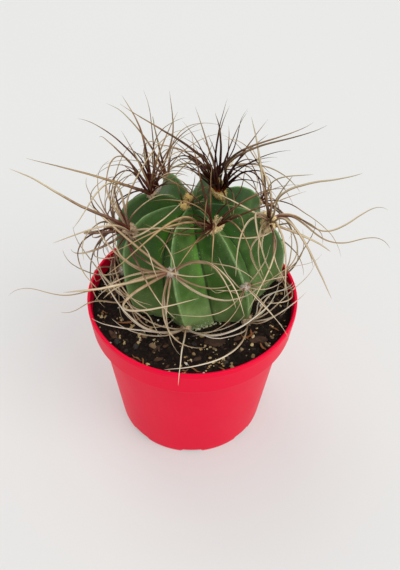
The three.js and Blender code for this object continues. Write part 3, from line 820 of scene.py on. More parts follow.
class Graph:
    """Adds nodes to a tree and joins them."""

    def __init__(self, tree):
        self.tree = tree

    def add(self, kind, given=None, **properties):
        made = self.tree.nodes.new(kind)
        for key, value in properties.items():
            setattr(made, key, value)
        for key, value in (given or {}).items():
            self.give(socket(made.inputs, key), value)
        return made

    def give(self, target, value):
        if isinstance(value, bpy.types.Node):
            value = next(item for item in value.outputs if item.enabled)
        if isinstance(value, bpy.types.NodeSocket):
            self.tree.links.new(value, target)
        else:
            target.default_value = value

    def math(self, operation, first, second=0.0, clamp=False):
        given = {"Value": first, "Value_001": second}
        return self.add("ShaderNodeMath", given, operation=operation, use_clamp=clamp).outputs[0]

    def times(self, first, *others):
        """Numbers multiplied with one another."""
        for other in others:
            first = self.math("MULTIPLY", first, other)
        return first

    def less(self, value, share=1.0):
        """One, less a share of a value."""
        return self.math("SUBTRACT", 1.0, self.times(value, share))

    def step(self, value, low, high, start=0.0, end=1.0):
        """Eases from start to end as value goes from low to high."""
        given = {"Value": value, "From Min": low, "From Max": high, "To Min": start, "To Max": end}
        return self.add("ShaderNodeMapRange", given, interpolation_type="SMOOTHSTEP").outputs[0]

    def vector(self, operation, first, second=(0, 0, 0)):
        given = {"Vector": first, "Vector_001": second}
        return self.add("ShaderNodeVectorMath", given, operation=operation).outputs[0]

    def scaled(self, vector, by):
        given = {"Vector": vector, "Scale": by}
        return self.add("ShaderNodeVectorMath", given, operation="SCALE").outputs[0]

    def xyz(self, x=0.0, y=0.0, z=0.0):
        return self.add("ShaderNodeCombineXYZ", {"X": x, "Y": y, "Z": z})

    def part(self, vector, axis):
        return self.add("ShaderNodeSeparateXYZ", {"Vector": vector}).outputs[axis]


class Surface(Graph):
    """A material with one principled shader."""

    def __init__(self, name, **values):
        self.material = bpy.data.materials.new(name)
        self.material.use_nodes = True
        super().__init__(self.material.node_tree)
        self.tree.nodes.clear()
        self.shader = self.add("ShaderNodeBsdfPrincipled")
        output = self.add("ShaderNodeOutputMaterial")
        self.tree.links.new(self.shader.outputs["BSDF"], output.inputs["Surface"])
        for key, value in values.items():
            self.set(key.replace("_", " "), value)

    def set(self, name, value):
        self.give(self.shader.inputs[name], value)

    def position(self):
        return self.add("ShaderNodeTexCoord").outputs["Object"]

    def attribute(self, name):
        return self.add("ShaderNodeAttribute", attribute_name=name).outputs["Fac"]

    def cloud(self, place, scale, detail=3.0, roughness=0.55):
        given = {"Vector": place, "Scale": scale, "Detail": detail, "Roughness": roughness}
        return self.add("ShaderNodeTexNoise", given).outputs["Fac"]

    def mix(self, share, first, second, blend_type="MIX"):
        given = {"Factor_Float": share, "A_Color": first, "B_Color": second}
        made = self.add("ShaderNodeMix", given, data_type="RGBA", blend_type=blend_type, clamp_result=True)
        return socket(made.outputs, "Result_Color")

    def shaded(self, tint, *shares):
        """A tint multiplied by one share, or by one for each of its channels."""
        channels = shares if len(shares) == 3 else 3 * shares
        grey = self.add("ShaderNodeCombineColor", dict(zip(("Red", "Green", "Blue"), channels)))
        return self.mix(1.0, tint, grey, "MULTIPLY")

    def ramp(self, share, *stops):
        made = self.add("ShaderNodeValToRGB", {"Fac": share})
        elements = made.color_ramp.elements
        while len(elements) < len(stops):
            elements.new(1)
        for element, (place, tint) in zip(elements, stops):
            element.position, element.color = place, tint
        return made.outputs["Color"]

    def bump(self, height, strength, distance):
        given = {"Height": height, "Strength": strength, "Distance": distance}
        self.set("Normal", self.add("ShaderNodeBump", given).outputs["Normal"])


class Shape(Graph):
    """A tree of geometry nodes with named inputs and a material."""

    def __init__(self, name, numbers, counts):
        super().__init__(bpy.data.node_groups.new(name, "GeometryNodeTree"))
        self.tree.is_modifier = True
        kinds = {"Geometry": "Geometry", **dict.fromkeys(numbers, "Float")}
        kinds.update({**dict.fromkeys(counts, "Int"), "Material": "Material"})
        for label, kind in kinds.items():
            self.tree.interface.new_socket(label, in_out="INPUT", socket_type="NodeSocket" + kind)
        self.tree.interface.new_socket("Geometry", in_out="OUTPUT", socket_type="NodeSocketGeometry")
        self.given = self.add("NodeGroupInput").outputs

    def named(self, name, kind="FLOAT"):
        made = self.add("GeometryNodeInputNamedAttribute", {"Name": name}, data_type=kind)
        return socket(made.outputs, "Attribute")

    def store(self, geometry, name, value):
        given = {"Geometry": geometry, "Name": name, "Value": value}
        return self.add("GeometryNodeStoreNamedAttribute", given, data_type="FLOAT", domain="POINT")

    def random(self, least, most, seed):
        """A number, or a vector, drawn for each element."""
        if isinstance(least, tuple):
            given = {"Min": least, "Max": most, "Seed": seed}
            return self.add("FunctionNodeRandomValue", given, data_type="FLOAT_VECTOR").outputs[0]
        given = {"Min_001": least, "Max_001": most, "Seed": seed}
        return self.add("FunctionNodeRandomValue", given, data_type="FLOAT").outputs[1]

    def wander(self, place, scale, detail, roughness, reach):
        """A shift that changes smoothly from place to place, up to half the reach each way."""
        given = {"Vector": place, "Scale": scale, "Detail": detail, "Roughness": roughness}
        tint = self.add("ShaderNodeTexNoise", given).outputs["Color"]
        return self.scaled(self.vector("SUBTRACT", tint, (0.5, 0.5, 0.5)), reach)

    def scatter(self, density):
        """Points spread over the faces of the tree's own geometry."""
        given = {"Mesh": self.given["Geometry"], "Density": density, "Seed": self.given["Seed"]}
        return self.add("GeometryNodeDistributePointsOnFaces", given).outputs

    def instances(self, points, body, rotation, scale):
        given = {"Points": points, "Instance": body, "Rotation": rotation, "Scale": scale}
        return self.add("GeometryNodeInstanceOnPoints", given)

    def together(self, *parts):
        both = self.add("GeometryNodeJoinGeometry")
        for part in parts:
            self.give(both.inputs[0], part)
        return both

    def circle(self, sides, width):
        given = {"Resolution": sides, "Radius": self.times(width, 0.5)}
        return self.add("GeometryNodeCurvePrimitiveCircle", given)

    def shifted(self, geometry, offset):
        return self.add("GeometryNodeSetPosition", {"Geometry": geometry, "Offset": offset})

    def smooth(self, geometry):
        return self.add("GeometryNodeSetShadeSmooth", {"Geometry": geometry})

    def real(self, geometry):
        return self.add("GeometryNodeRealizeInstances", {"Geometry": geometry})

    def end(self, geometry):
        """Ends the tree with real geometry in its material."""
        given = {"Geometry": self.real(geometry), "Material": self.given["Material"]}
        self.add("NodeGroupOutput", {"Geometry": self.add("GeometryNodeSetMaterial", given)})
        return self.tree


def evaluated(holder):
    """A plain mesh of what an object's modifiers make of it; the object is taken away."""
    bpy.context.view_layer.update()
    made = bpy.data.meshes.new_from_object(holder.evaluated_get(bpy.context.evaluated_depsgraph_get()))
    holder.modifiers.clear()
    bpy.data.objects.remove(holder)
    return made


def linked(name, content):
    """A new object in the scene."""
    made = bpy.data.objects.new(name, content)
    bpy.context.scene.collection.objects.link(made)
    return made


def shaped(mesh, tree, values):
    """A plain mesh: what the tree makes of this one."""
    holder = linked("shaping", mesh)
    modifier = holder.modifiers.new("Shape", "NODES")
    modifier.node_group = tree
    for item in tree.interface.items_tree:
        if item.in_out == "INPUT" and item.name in values:
            modifier[item.identifier] = values[item.name]
    return evaluated(holder)


def mesh_of(name, points, faces=(), edges=(), **attributes):
    """A mesh from points in metres, with a value or a vector of each attribute on every point."""
    mesh = bpy.data.meshes.new(name)
    mesh.from_pydata([tuple(p) for p in np.asarray(points, float)], list(edges), list(faces))
    for key, values in attributes.items():
        values = np.asarray(values, np.float32)
        kind, field = ("FLOAT_VECTOR", "vector") if values.ndim == 2 else ("FLOAT", "value")
        mesh.attributes.new(key, kind, "POINT").data.foreach_set(field, values.ravel())
    if faces:
        mesh.shade_smooth()
    mesh.update()
    return mesh


def joined(meshes):
    """One mesh of several, each with its own materials."""
    holders = [linked("joining", mesh) for mesh in meshes]
    with bpy.context.temp_override(
        active_object=holders[0], object=holders[0], selected_editable_objects=holders,
        selected_objects=holders,
    ):
        bpy.ops.object.join()
    made = holders[0].data
    bpy.data.objects.remove(holders[0])
    return made


def set_piece(name, mesh, node, material=None):
    """A finished piece that stands for a node of the frame."""
    if material:
        mesh.materials.clear()
        mesh.materials.append(material)
    mesh.name = name
    piece = linked(name, mesh)
    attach(piece, "root")
    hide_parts(node)


def turned_ring(radius, height, turns):
    """A level ring of points."""
    return np.stack([radius * np.cos(turns), radius * np.sin(turns), height + 0 * turns], -1)


def all_round(sides):
    """Even turns round a ring, in radians."""
    return 2 * math.pi * np.arange(sides) / sides


def ring_faces(rings, sides, closed_ends=True):
    """Quads between rings of points, and fans to a first and a last point after them."""
    faces = []
    for j in range(rings - 1):
        for k in range(sides):
            n = (k + 1) % sides
            a = j * sides
            b = a + sides
            faces.append((a + k, a + n, b + n, b + k))
    if closed_ends:
        last = (rings - 1) * sides
        for k in range(sides):
            n = (k + 1) % sides
            faces.append((rings * sides, n, k))
            faces.append((last + k, last + n, rings * sides + 1))
    return faces


def moved_on(faces, base):
    """The same faces for points that come after others."""
    return [tuple(base + k for k in face_points) for face_points in faces]


# The pot.


def wall_radius(z):
    """The outside of the pot's wall under its collar."""
    return FOOT_RADIUS + (SHOULDER_RADIUS - FOOT_RADIUS) * z / COLLAR_BOTTOM


def pot_inside(z):
    """The inside of the pot's wall."""
    if z <= STEP_FOOT:
        return wall_radius(z) - WALL
    t = (z - STEP_TOP) / (POT_HEIGHT - LIP_DROP - STEP_TOP)
    return COLLAR_RADIUS - WALL + (INNER_RIM - COLLAR_RADIUS + WALL) * max(t, 0)


def rounded(corners):
    """A profile with each corner (radius, height, rounding) turned into a small arc."""
    points = []
    for k, (r, z, rounding) in enumerate(corners):
        corner = np.array([r, z], float)
        if not rounding or k in (0, len(corners) - 1):
            points.append(corner)
            continue
        before, after = np.array(corners[k - 1][:2], float), np.array(corners[k + 1][:2], float)
        reach = min(rounding, np.linalg.norm(before - corner) / 2, np.linalg.norm(after - corner) / 2)
        start = corner + reach * unit(before - corner)
        end = corner + reach * unit(after - corner)
        for t in np.linspace(0, 1, 5):
            points.append((1 - t) ** 2 * start + 2 * t * (1 - t) * corner + t * t * end)
    return points


def slots_mesh():
    """The blocks that cut the drain slots, with rounded upper edges."""
    cutter = bmesh.new()
    reach = FOOT_RADIUS + SLOT_PAST_FOOT - SLOT_INNER_RADIUS
    shift = Matrix.Translation(((SLOT_INNER_RADIUS + reach / 2) * MM, 0, 0))
    size = Matrix.Diagonal((reach * MM, SLOT_WIDTH * MM, 2 * SLOT_HEIGHT * MM, 1))
    for k in range(SLOT_COUNT):
        turn = Matrix.Rotation(math.radians(SLOT_TURN + 360 / SLOT_COUNT * k), 4, "Z")
        made = bmesh.ops.create_cube(cutter, size=1, matrix=turn @ shift @ size)
        radial = [
            e for v in made["verts"] for e in v.link_edges
            if abs((e.verts[0].co - e.verts[1].co).length - reach * MM) < 1e-6 and v.co.z > 0
        ]
        geom, offset = list(set(radial)), SLOT_ROUNDING * MM
        bmesh.ops.bevel(cutter, geom=geom, offset=offset, segments=3, affect="EDGES")
    cutting = bpy.data.meshes.new("slots")
    cutter.to_mesh(cutting)
    cutter.free()
    return cutting


def pot_mesh(settings):
    """The turned pot with its drain slots cut."""
    lip = settings.lip_rounding / MM
    low, high = FOOT_STEP
    profile = rounded([
        (0, FOOT_RECESS, 0), (FOOT_RADIUS - FOOT_RING - FOOT_SLOPE, FOOT_RECESS, 0.4),
        (FOOT_RADIUS - FOOT_RING, 0, 0.3), (FOOT_RADIUS, 0, 1.2), (wall_radius(low), low, 0.3),
        (wall_radius(high) + FOOT_STEP_DEPTH, high, 0.3), (SHOULDER_RADIUS, COLLAR_BOTTOM, 0.8),
        (COLLAR_RADIUS, COLLAR_BOTTOM, 0.9),
        (COLLAR_RADIUS + COLLAR_FOOT_DEPTH, COLLAR_BOTTOM + COLLAR_FOOT, 0.3),
        (RIM_RADIUS - LIP_STEP_DEPTH, POT_HEIGHT - LIP_STEP[0], 0.3),
        (RIM_RADIUS, POT_HEIGHT - LIP_STEP[1], 0.3), (RIM_RADIUS, POT_HEIGHT, lip),
        (INNER_RIM, POT_HEIGHT, lip),
        (COLLAR_RADIUS - WALL, STEP_TOP, 0.8), (SHOULDER_RADIUS - WALL, STEP_FOOT, 0.8),
        (wall_radius(FLOOR) - WALL, FLOOR, 1.2), (0, FLOOR, 0),
    ])
    turns = all_round(settings.sides)
    rings = [turned_ring(r, z, turns) for r, z in profile[1:-1]]
    points = np.vstack(rings + [[(0, 0, profile[0][1])], [(0, 0, profile[-1][1])]]) * MM
    body = linked("body", mesh_of("pot", points, ring_faces(len(rings), settings.sides)))
    tool = linked("slots", slots_mesh())
    cut = body.modifiers.new("Slots", "BOOLEAN")
    cut.operation, cut.object, cut.solver = "DIFFERENCE", tool, "EXACT"
    made = evaluated(body)
    bpy.data.objects.remove(tool)
    made.shade_smooth()
    made.set_sharp_from_angle(angle=SHARP_EDGE)
    return made


def plastic(settings):
    """Moulded satin plastic, with a little of the mix clinging to its inside."""
    s = Surface("red_plastic", IOR=1.45, Specular_IOR_Level=0.1)
    place = s.position()
    tint = s.mix(s.cloud(place, 16, 2), settings.plastic, dimmed(settings.plastic, 0.8))
    height = s.part(place, "Z")
    flat = s.vector("MULTIPLY", place, (1, 1, 0))
    radius = s.add("ShaderNodeVectorMath", {"Vector": flat}, operation="LENGTH").outputs["Value"]
    inner = s.times(
        s.step(radius, (INNER_RIM + 0.15) * MM, (INNER_RIM + 0.05) * MM),
        s.step(height, (POT_HEIGHT - 0.5) * MM, (SOIL_EDGE + 0.5) * MM),
        s.step(height, (COLLAR_BOTTOM + 1) * MM, (COLLAR_BOTTOM + 2) * MM),
    )
    spots = s.step(s.cloud(place, 420, 3, 0.7), 0.56, 0.68)
    s.set("Base Color", s.mix(s.times(spots, 0.85, inner), tint, settings.grime))
    rough = s.cloud(place, 55, 3)
    s.set("Roughness", s.math("ADD", s.times(rough, 0.14), settings.roughness - 0.07))
    s.bump(s.cloud(place, 2600, 2), 0.12, 0.00006)
    return s.material


class CACTUS_OT_pot(bpy.types.Operator):
    """Turn the red nursery pot and cut its drain slots"""

    bl_idname = "cactus.pot"
    bl_label = "Nursery pot"
    bl_options = {"REGISTER", "UNDO"}

    def execute(self, context):
        settings = context.scene.cactus.pot
        set_piece("nursery_pot", pot_mesh(settings), "pot", plastic(settings))
        return {"FINISHED"}


# The potting mix.


def bumps(x, y, pitch):
    """Smooth bumps, about 1 high and as wide apart as the pitch."""
    a = np.sin(2 * np.pi * x / pitch + 1.3 * np.sin(y / pitch + 0.7))
    b = np.sin(2 * np.pi * y / pitch + 1.7 * np.sin(x / pitch + 2.1))
    return a * b


def soil_top(x, y):
    """The height of the mix, which rises a little towards the stem."""
    away = np.hypot(x - STEM_FOOT[0], y - STEM_FOOT[1])
    t = np.clip((RISE_START - away) / RISE_WIDTH, 0, 1)
    rise = t * t * (3 - 2 * t)
    relief = 0.6 * bumps(x, y, 9) + 0.4 * bumps(y + 3, x, 5.3)
    return SOIL_EDGE + (SOIL_CROWN - SOIL_EDGE) * rise + SOIL_RELIEF * relief


def stem_outline(azimuth):
    """The stem's radius at the soil, each way round its foot."""
    across = np.linspace(-1, 1, 21)[:-1]
    rib, share = np.meshgrid(np.arange(RIB_COUNT), across, indexing="ij")
    outline = (face(rib, 0, share) - STEM_FOOT).reshape(-1, 3)
    turns = np.arctan2(outline[:, 1], outline[:, 0])
    order = np.argsort(turns)
    return np.interp(azimuth, turns[order], np.hypot(outline[:, 0], outline[:, 1])[order], period=2 * np.pi)


def lumps(x, y, relief):
    """The fine relief of the peat at one place, in millimetres."""
    big = noise.fractal(Vector((x / 5, y / 5, 3.7)), 0.9, 2.1, 4)
    small = 1 - abs(noise.noise(Vector((x / 1.7, y / 1.7, 9.1)))) * 2
    return relief * (0.75 * big + 0.4 * small - 0.25)


def soil_rings(settings):
    """Rings of the mix: those down its side in the pot, and its top from the wall inwards."""
    turns = all_round(SOIL_SIDES)
    # The height at which each ring follows the wall, and its own.
    levels = (
        (FLOOR, FLOOR + GAP), (STEP_FOOT, STEP_FOOT + 0.6), (STEP_TOP, STEP_TOP + 0.8),
        (SOIL_EDGE - 1, SOIL_EDGE - 1.6),
    )
    side = [turned_ring(pot_inside(level) - SIDE_GAP, z, turns) for level, z in levels]
    top = []
    relief = settings.relief / MM
    for r in np.linspace(*SOIL_RADII, SOIL_RINGS):
        x, y = r * np.cos(turns), r * np.sin(turns)
        z = soil_top(x, y) + [lumps(a, b, relief) for a, b in zip(x, y)]
        top.append(np.stack([x, y, z], -1))
    return side, top


def peat(settings):
    """Dark damp peat with dry fibres."""
    s = Surface("peat", Roughness=0.95, Specular_IOR_Level=0.25)
    place = s.position()
    coarse, fine = s.cloud(place, 260, 5, 0.65), s.cloud(place, 1100, 3, 0.7)
    dark, light = settings.peat_dark, settings.peat_light
    share = s.times(s.math("ADD", coarse, fine), 0.5)
    s.set("Base Color", s.ramp(share, (0.36, dark), (0.55, blend(dark, light)), (0.74, light)))
    s.bump(s.math("ADD", coarse, s.times(fine, 0.5)), 0.8, 0.0008)
    return s.material


def stone(name, tints, speckle=0.25, bump=0.5, **values):
    """A rough mineral or bark finish whose colour is drawn for each piece."""
    s = Surface(name, **values)
    place = s.position()
    tints = [paint(tint) if isinstance(tint, str) else tint for tint in tints]
    tint = s.ramp(s.attribute("tone"), *((k / (len(tints) - 1), tint) for k, tint in enumerate(tints)))
    dusk = s.step(s.cloud(place, 420, 2), 0.35, 0.7, 1 - speckle, 1.0)
    s.set("Base Color", s.shaded(tint, dusk))
    s.bump(s.cloud(place, 1500, 4, 0.7), bump, 0.0003)
    return s.material


STONE_NUMBERS = ("Density", "Smallest", "Largest", "Flatness", "Length", "Roughness", "Sink")


def stones_tree():
    """Rough stones, scattered over open ground and set at the points that carry a size."""
    g = Shape("scattered_stones", STONE_NUMBERS, ("Facets", "Seed"))
    given = g.given
    later_seeds = [g.math("ADD", given["Seed"], k) for k in (1, 2, 3)]
    points = g.scatter(g.times(given["Density"], g.named("open")))["Points"]
    share = g.math("POWER", g.random(0.0, 1.0, later_seeds[0]), 2.2)
    sizes = {"Value": share, "To Min": given["Smallest"], "To Max": given["Largest"]}
    sized = g.store(points, "size", g.add("ShaderNodeMapRange", sizes))
    compared = {"A": g.named("size"), "B": 0.0}
    chosen = g.add("FunctionNodeCompare", compared, data_type="FLOAT", operation="GREATER_THAN")
    placed = g.add("GeometryNodeMeshToPoints", {"Mesh": given["Geometry"], "Selection": chosen})
    toned = g.store(g.together(sized, placed), "tone", g.random(0.0, 1.0, later_seeds[1]))
    body = g.add("GeometryNodeMeshIcoSphere", {"Radius": 0.5, "Subdivisions": given["Facets"]})
    turn = g.random((-0.5, -0.5, -3.2), (0.5, 0.5, 3.2), given["Seed"])
    varied = g.random((0.8, 0.7, 0.8), (1.1, 1.0, 1.2), later_seeds[2])
    form = g.vector("MULTIPLY", g.xyz(given["Length"], 1.0, given["Flatness"]), varied)
    size = g.named("size")
    real = g.real(g.instances(toned, body, turn, g.scaled(form, size)))
    place = g.add("GeometryNodeInputPosition")
    rough = g.wander(place, g.math("DIVIDE", 0.9, size), 1.0, 0.5, g.times(size, given["Roughness"]))
    sunk = g.xyz(z=g.times(size, g.times(given["Sink"], -1.0)))
    return g.end(g.shifted(real, g.vector("ADD", rough, sunk)))


def sand_places():
    """Small cream crumbs that lie in heaps, as x, y and size."""
    draws, places = Draws(29), []
    for x, y, count in SAND_HEAPS:
        for _ in range(count):
            turn, away = 2 * math.pi * draws.next(), HEAP_RADIUS * draws.next() ** 0.8
            size = SAND_SIZES[0] + (SAND_SIZES[1] - SAND_SIZES[0]) * draws.next() ** 2
            places.append((x + away * math.cos(turn), y + away * math.sin(turn), size))
    return tuple(places)


def scar_places():
    """Pale flakes of old skin along the front of the stem's foot, as x, y and size."""
    draws, places = Draws(17), []
    for _ in range(SCAR_COUNT):
        azimuth = math.radians(draws.about(SCAR_AZIMUTH, SCAR_REACH))
        away = float(stem_outline(np.array(azimuth))) + draws.about(*SCAR_AWAY)
        x, y = STEM_FOOT[0] + away * math.cos(azimuth), STEM_FOOT[1] + away * math.sin(azimuth)
        places.append((x, y, draws.about(*SCAR_SIZE)))
    return tuple(places)


def open_ground(rings, placed):
    """The top of the mix, marked where it is open, with the points of the larger pieces."""
    top = np.vstack(rings)
    x, y = top[:, 0] - STEM_FOOT[0], top[:, 1] - STEM_FOOT[1]
    beside = np.hypot(x, y) - stem_outline(np.arctan2(y, x))
    to_wall = OPEN_RADIUS - np.hypot(top[:, 0], top[:, 1])
    clear = np.clip((beside + STEM_FADE) / STEM_FADE, 0, 1) * np.clip(to_wall / OPEN_FADE, 0, 1)
    extra = np.array([(x, y, soil_top(x, y)) for x, y, _ in placed]).reshape(-1, 3)
    size = np.concatenate([np.zeros(len(top)), [s * MM for _, _, s in placed]])
    faces = ring_faces(len(rings), SOIL_SIDES, closed_ends=False)
    clear = np.concatenate([clear, np.zeros(len(extra))])
    return mesh_of("ground", np.vstack([top, extra]) * MM, faces, open=clear, size=size)


def outward(mesh):
    """The same mesh with every face turned outwards."""
    work = bmesh.new()
    work.from_mesh(mesh)
    bmesh.ops.recalc_face_normals(work, faces=work.faces)
    work.to_mesh(mesh)
    work.free()
    return mesh


def scraps_mesh():
    """Dry curled scraps of old spines and skin that lie on the mix."""
    draws = Draws(91)
    places = list(LARGE_SCRAPS)
    for _ in range(SCRAP_COUNT):
        azimuth, r = math.radians(draws.about(-90, 170)), draws.about(*SCRAP_AWAY)
        long, turn = draws.about(*SCRAP_LENGTH), draws.about(0, 180)
        places.append((r * math.cos(azimuth), r * math.sin(azimuth), long, turn))
    section = ((-1, 0), (0, 0.22), (1, 0), (0, -0.16))
    rings, corners = 9, len(section)
    last = corners * (rings - 1)
    strip = ring_faces(rings, corners, closed_ends=False)
    strip += [(3, 2, 1, 0), (last, last + 1, last + 2, last + 3)]
    points, faces, tone = [], [], []
    for x, y, long, turn in places:
        shade, curl, wide = draws.next(), draws.about(*SCRAP_CURL), draws.about(*SCRAP_WIDTH)
        way = np.array([math.cos(math.radians(turn)), math.sin(math.radians(turn))])
        aside = np.array([-way[1], way[0]])
        faces += moved_on(strip, len(points))
        for t in np.linspace(-0.5, 0.5, rings):
            half = wide * (1 - (2 * t) ** 2 * 0.85)
            at = np.array([x, y]) + way * long * t + curl * long * (t * t - 0.1) * aside
            rise = soil_top(*at) + SCRAP_LIFT * (1 + math.sin(3.4 * t + 2 * shade) ** 2)
            points += [(*(at + half * a * aside), rise + b) for a, b in section]
            tone += [shade] * corners
    return outward(mesh_of("scraps", np.array(points) * MM, faces, tone=tone))


class CACTUS_OT_mix(bpy.types.Operator):
    """Fill the pot with peat, crumbs, grit, bark and perlite"""

    bl_idname = "cactus.mix"
    bl_label = "Potting mix"
    bl_options = {"REGISTER", "UNDO"}

    def execute(self, context):
        settings = context.scene.cactus.mix
        side, top = soil_rings(settings)
        rings = side + top
        ends = [(0, 0, FLOOR + GAP), (0, 0, soil_top(0, 0))]
        body = mesh_of("mix", np.vstack(rings + [ends]) * MM, ring_faces(len(rings), SOIL_SIDES))
        set_piece("potting_mix", body, "soil", peat(settings))
        crumb_tints = (settings.peat_dark, "241912", "1A120D", "3A2A1D", "2A1C14", settings.peat_light)
        crumbs = stone("crumbs", crumb_tints, Roughness=0.95, Specular_IOR_Level=0.25)
        grit = stone("grit", ("9C8358", settings.grit, "D9C493", "7C6446", "B8965F"), Roughness=0.85)
        sand = stone("sand", ("D6BC86", "C0995D", "E6D8AC", "9A7649"), Roughness=0.85)
        scar = stone("scar", ("A9B27C", "D4D3B4", "C3C795"), 0.2, Roughness=0.9)
        perlite = stone("perlite", (settings.perlite, "C9C3B4", "F0ECE2"), 0.18, Roughness=0.8)
        bark = stone("bark", (settings.bark, "3A2619", "6A4930", "452D1E"), 0.5, 0.9, Roughness=0.9)
        pebbles = stone("pebbles", (settings.pebble, "231D19", "4A4038"), Roughness=0.7)
        scraps = stone("dry_scraps", (settings.scrap, "8C5A30", "C08A4E"), 0.3, 0.4, Roughness=0.8)
        stones = settings.stones
        kinds = (
            # Name, finish, placed pieces, facets, then the values of STONE_NUMBERS, sizes in millimetres.
            ("mix_crumbs", crumbs, (), 1, settings.crumbs, 0.5, 2.4, 0.75, 1.15, 0.5, 0.1),
            ("mix_grit", grit, LARGE_GRIT, 2, stones * 0.6, 0.6, 3.0, 0.7, 1.2, 0.55, 0.12),
            ("mix_sand", sand, sand_places(), 1, 0.0, 0.4, 1.0, 0.8, 1.15, 0.5, 0.05),
            ("stem_scar", scar, scar_places(), 1, 0.0, 0.4, 1.0, 0.6, 1.7, 0.5, -0.15),
            ("mix_perlite", perlite, LARGE_PERLITE, 2, stones * 0.12, 0.4, 1.5, 0.8, 1.1, 0.4, 0.08),
            ("mix_bark", bark, LARGE_BARK, 2, stones * 0.26, 1.2, 4.8, 0.42, 1.9, 0.55, 0.05),
            ("mix_pebbles", pebbles, LARGE_PEBBLES, 2, stones * 0.18, 1.2, 3.8, 0.65, 1.25, 0.45, 0.14),
        )
        tree = stones_tree()
        for k, (name, finish, placed, facets, density, least, most, *form) in enumerate(kinds):
            values = dict(zip(STONE_NUMBERS, (density, least * MM, most * MM, *form)))
            values.update({"Facets": facets, "Seed": settings.seed + 11 * k, "Material": finish})
            made = shaped(open_ground(top, placed), tree, values)
            made.shade_flat()
            set_piece(name, made, "soil")
        set_piece("dry_scraps", scraps_mesh(), "soil", scraps)
        return {"FINISHED"}


# The stem.


def stem_mesh(settings):
    """The ribbed stem, with its crests rounded and its skin a little uneven."""
    across = np.array([-1] + [-a for a in ACROSS[:0:-1]] + list(ACROSS))
    rib, share = (a.ravel() for a in np.meshgrid(np.arange(RIB_COUNT), across, indexing="ij"))
    swell, rounding = settings.face_swell / MM, settings.crest_rounding
    foot = face(rib, 0, share, swell, rounding)
    azimuth = np.arctan2(foot[:, 1] - STEM_FOOT[1], foot[:, 0] - STEM_FOOT[0])
    rings = [from_axis(radius, height, azimuth) for radius, height in ROOT]
    rise = [0 * share - 0.05] * len(ROOT)
    for u in np.linspace(0, TOP_ROW, settings.rows):
        ring = face(rib, u, share, swell, rounding)
        out = unit(ring - from_axis(0 * share, OUTWARD_RISE * profile_at(u)[1], azimuth))
        wobble = np.array([noise.fractal(Vector(p) / UNEVEN_SIZE, 0.8, 2.1, 3) for p in ring])
        crease = np.exp(-(((1 - np.abs(share)) / CREASE_WIDTH) ** 2)) * min(1, 5 * (1 - u))
        ridge = np.exp(-((share / RIDGE_WIDTH) ** 4)) * min(1, 5 * (1 - u))
        lift = UNEVEN * wobble * min(1, 8 * (1 - u)) - CREASE_DEPTH * crease + RIDGE_HEIGHT * ridge
        rings.append(ring + out * lift[:, None])
        rise.append(0 * share + u)
    ends = np.array([from_axis(0, ROOT[0][1] - 3, np.array(0.0)), crest(0, 1.0)])
    return mesh_of(
        "stem", np.vstack(rings + [ends]) * MM, ring_faces(len(rings), len(across) * RIB_COUNT),
        crest=np.concatenate([np.tile(np.abs(share), len(rings)), [0.5, 0.5]]),
        rise=np.concatenate(rise + [[-0.05, 1]]),
        turn=np.concatenate([np.tile(share, len(rings)), [0, 0]]),
    )


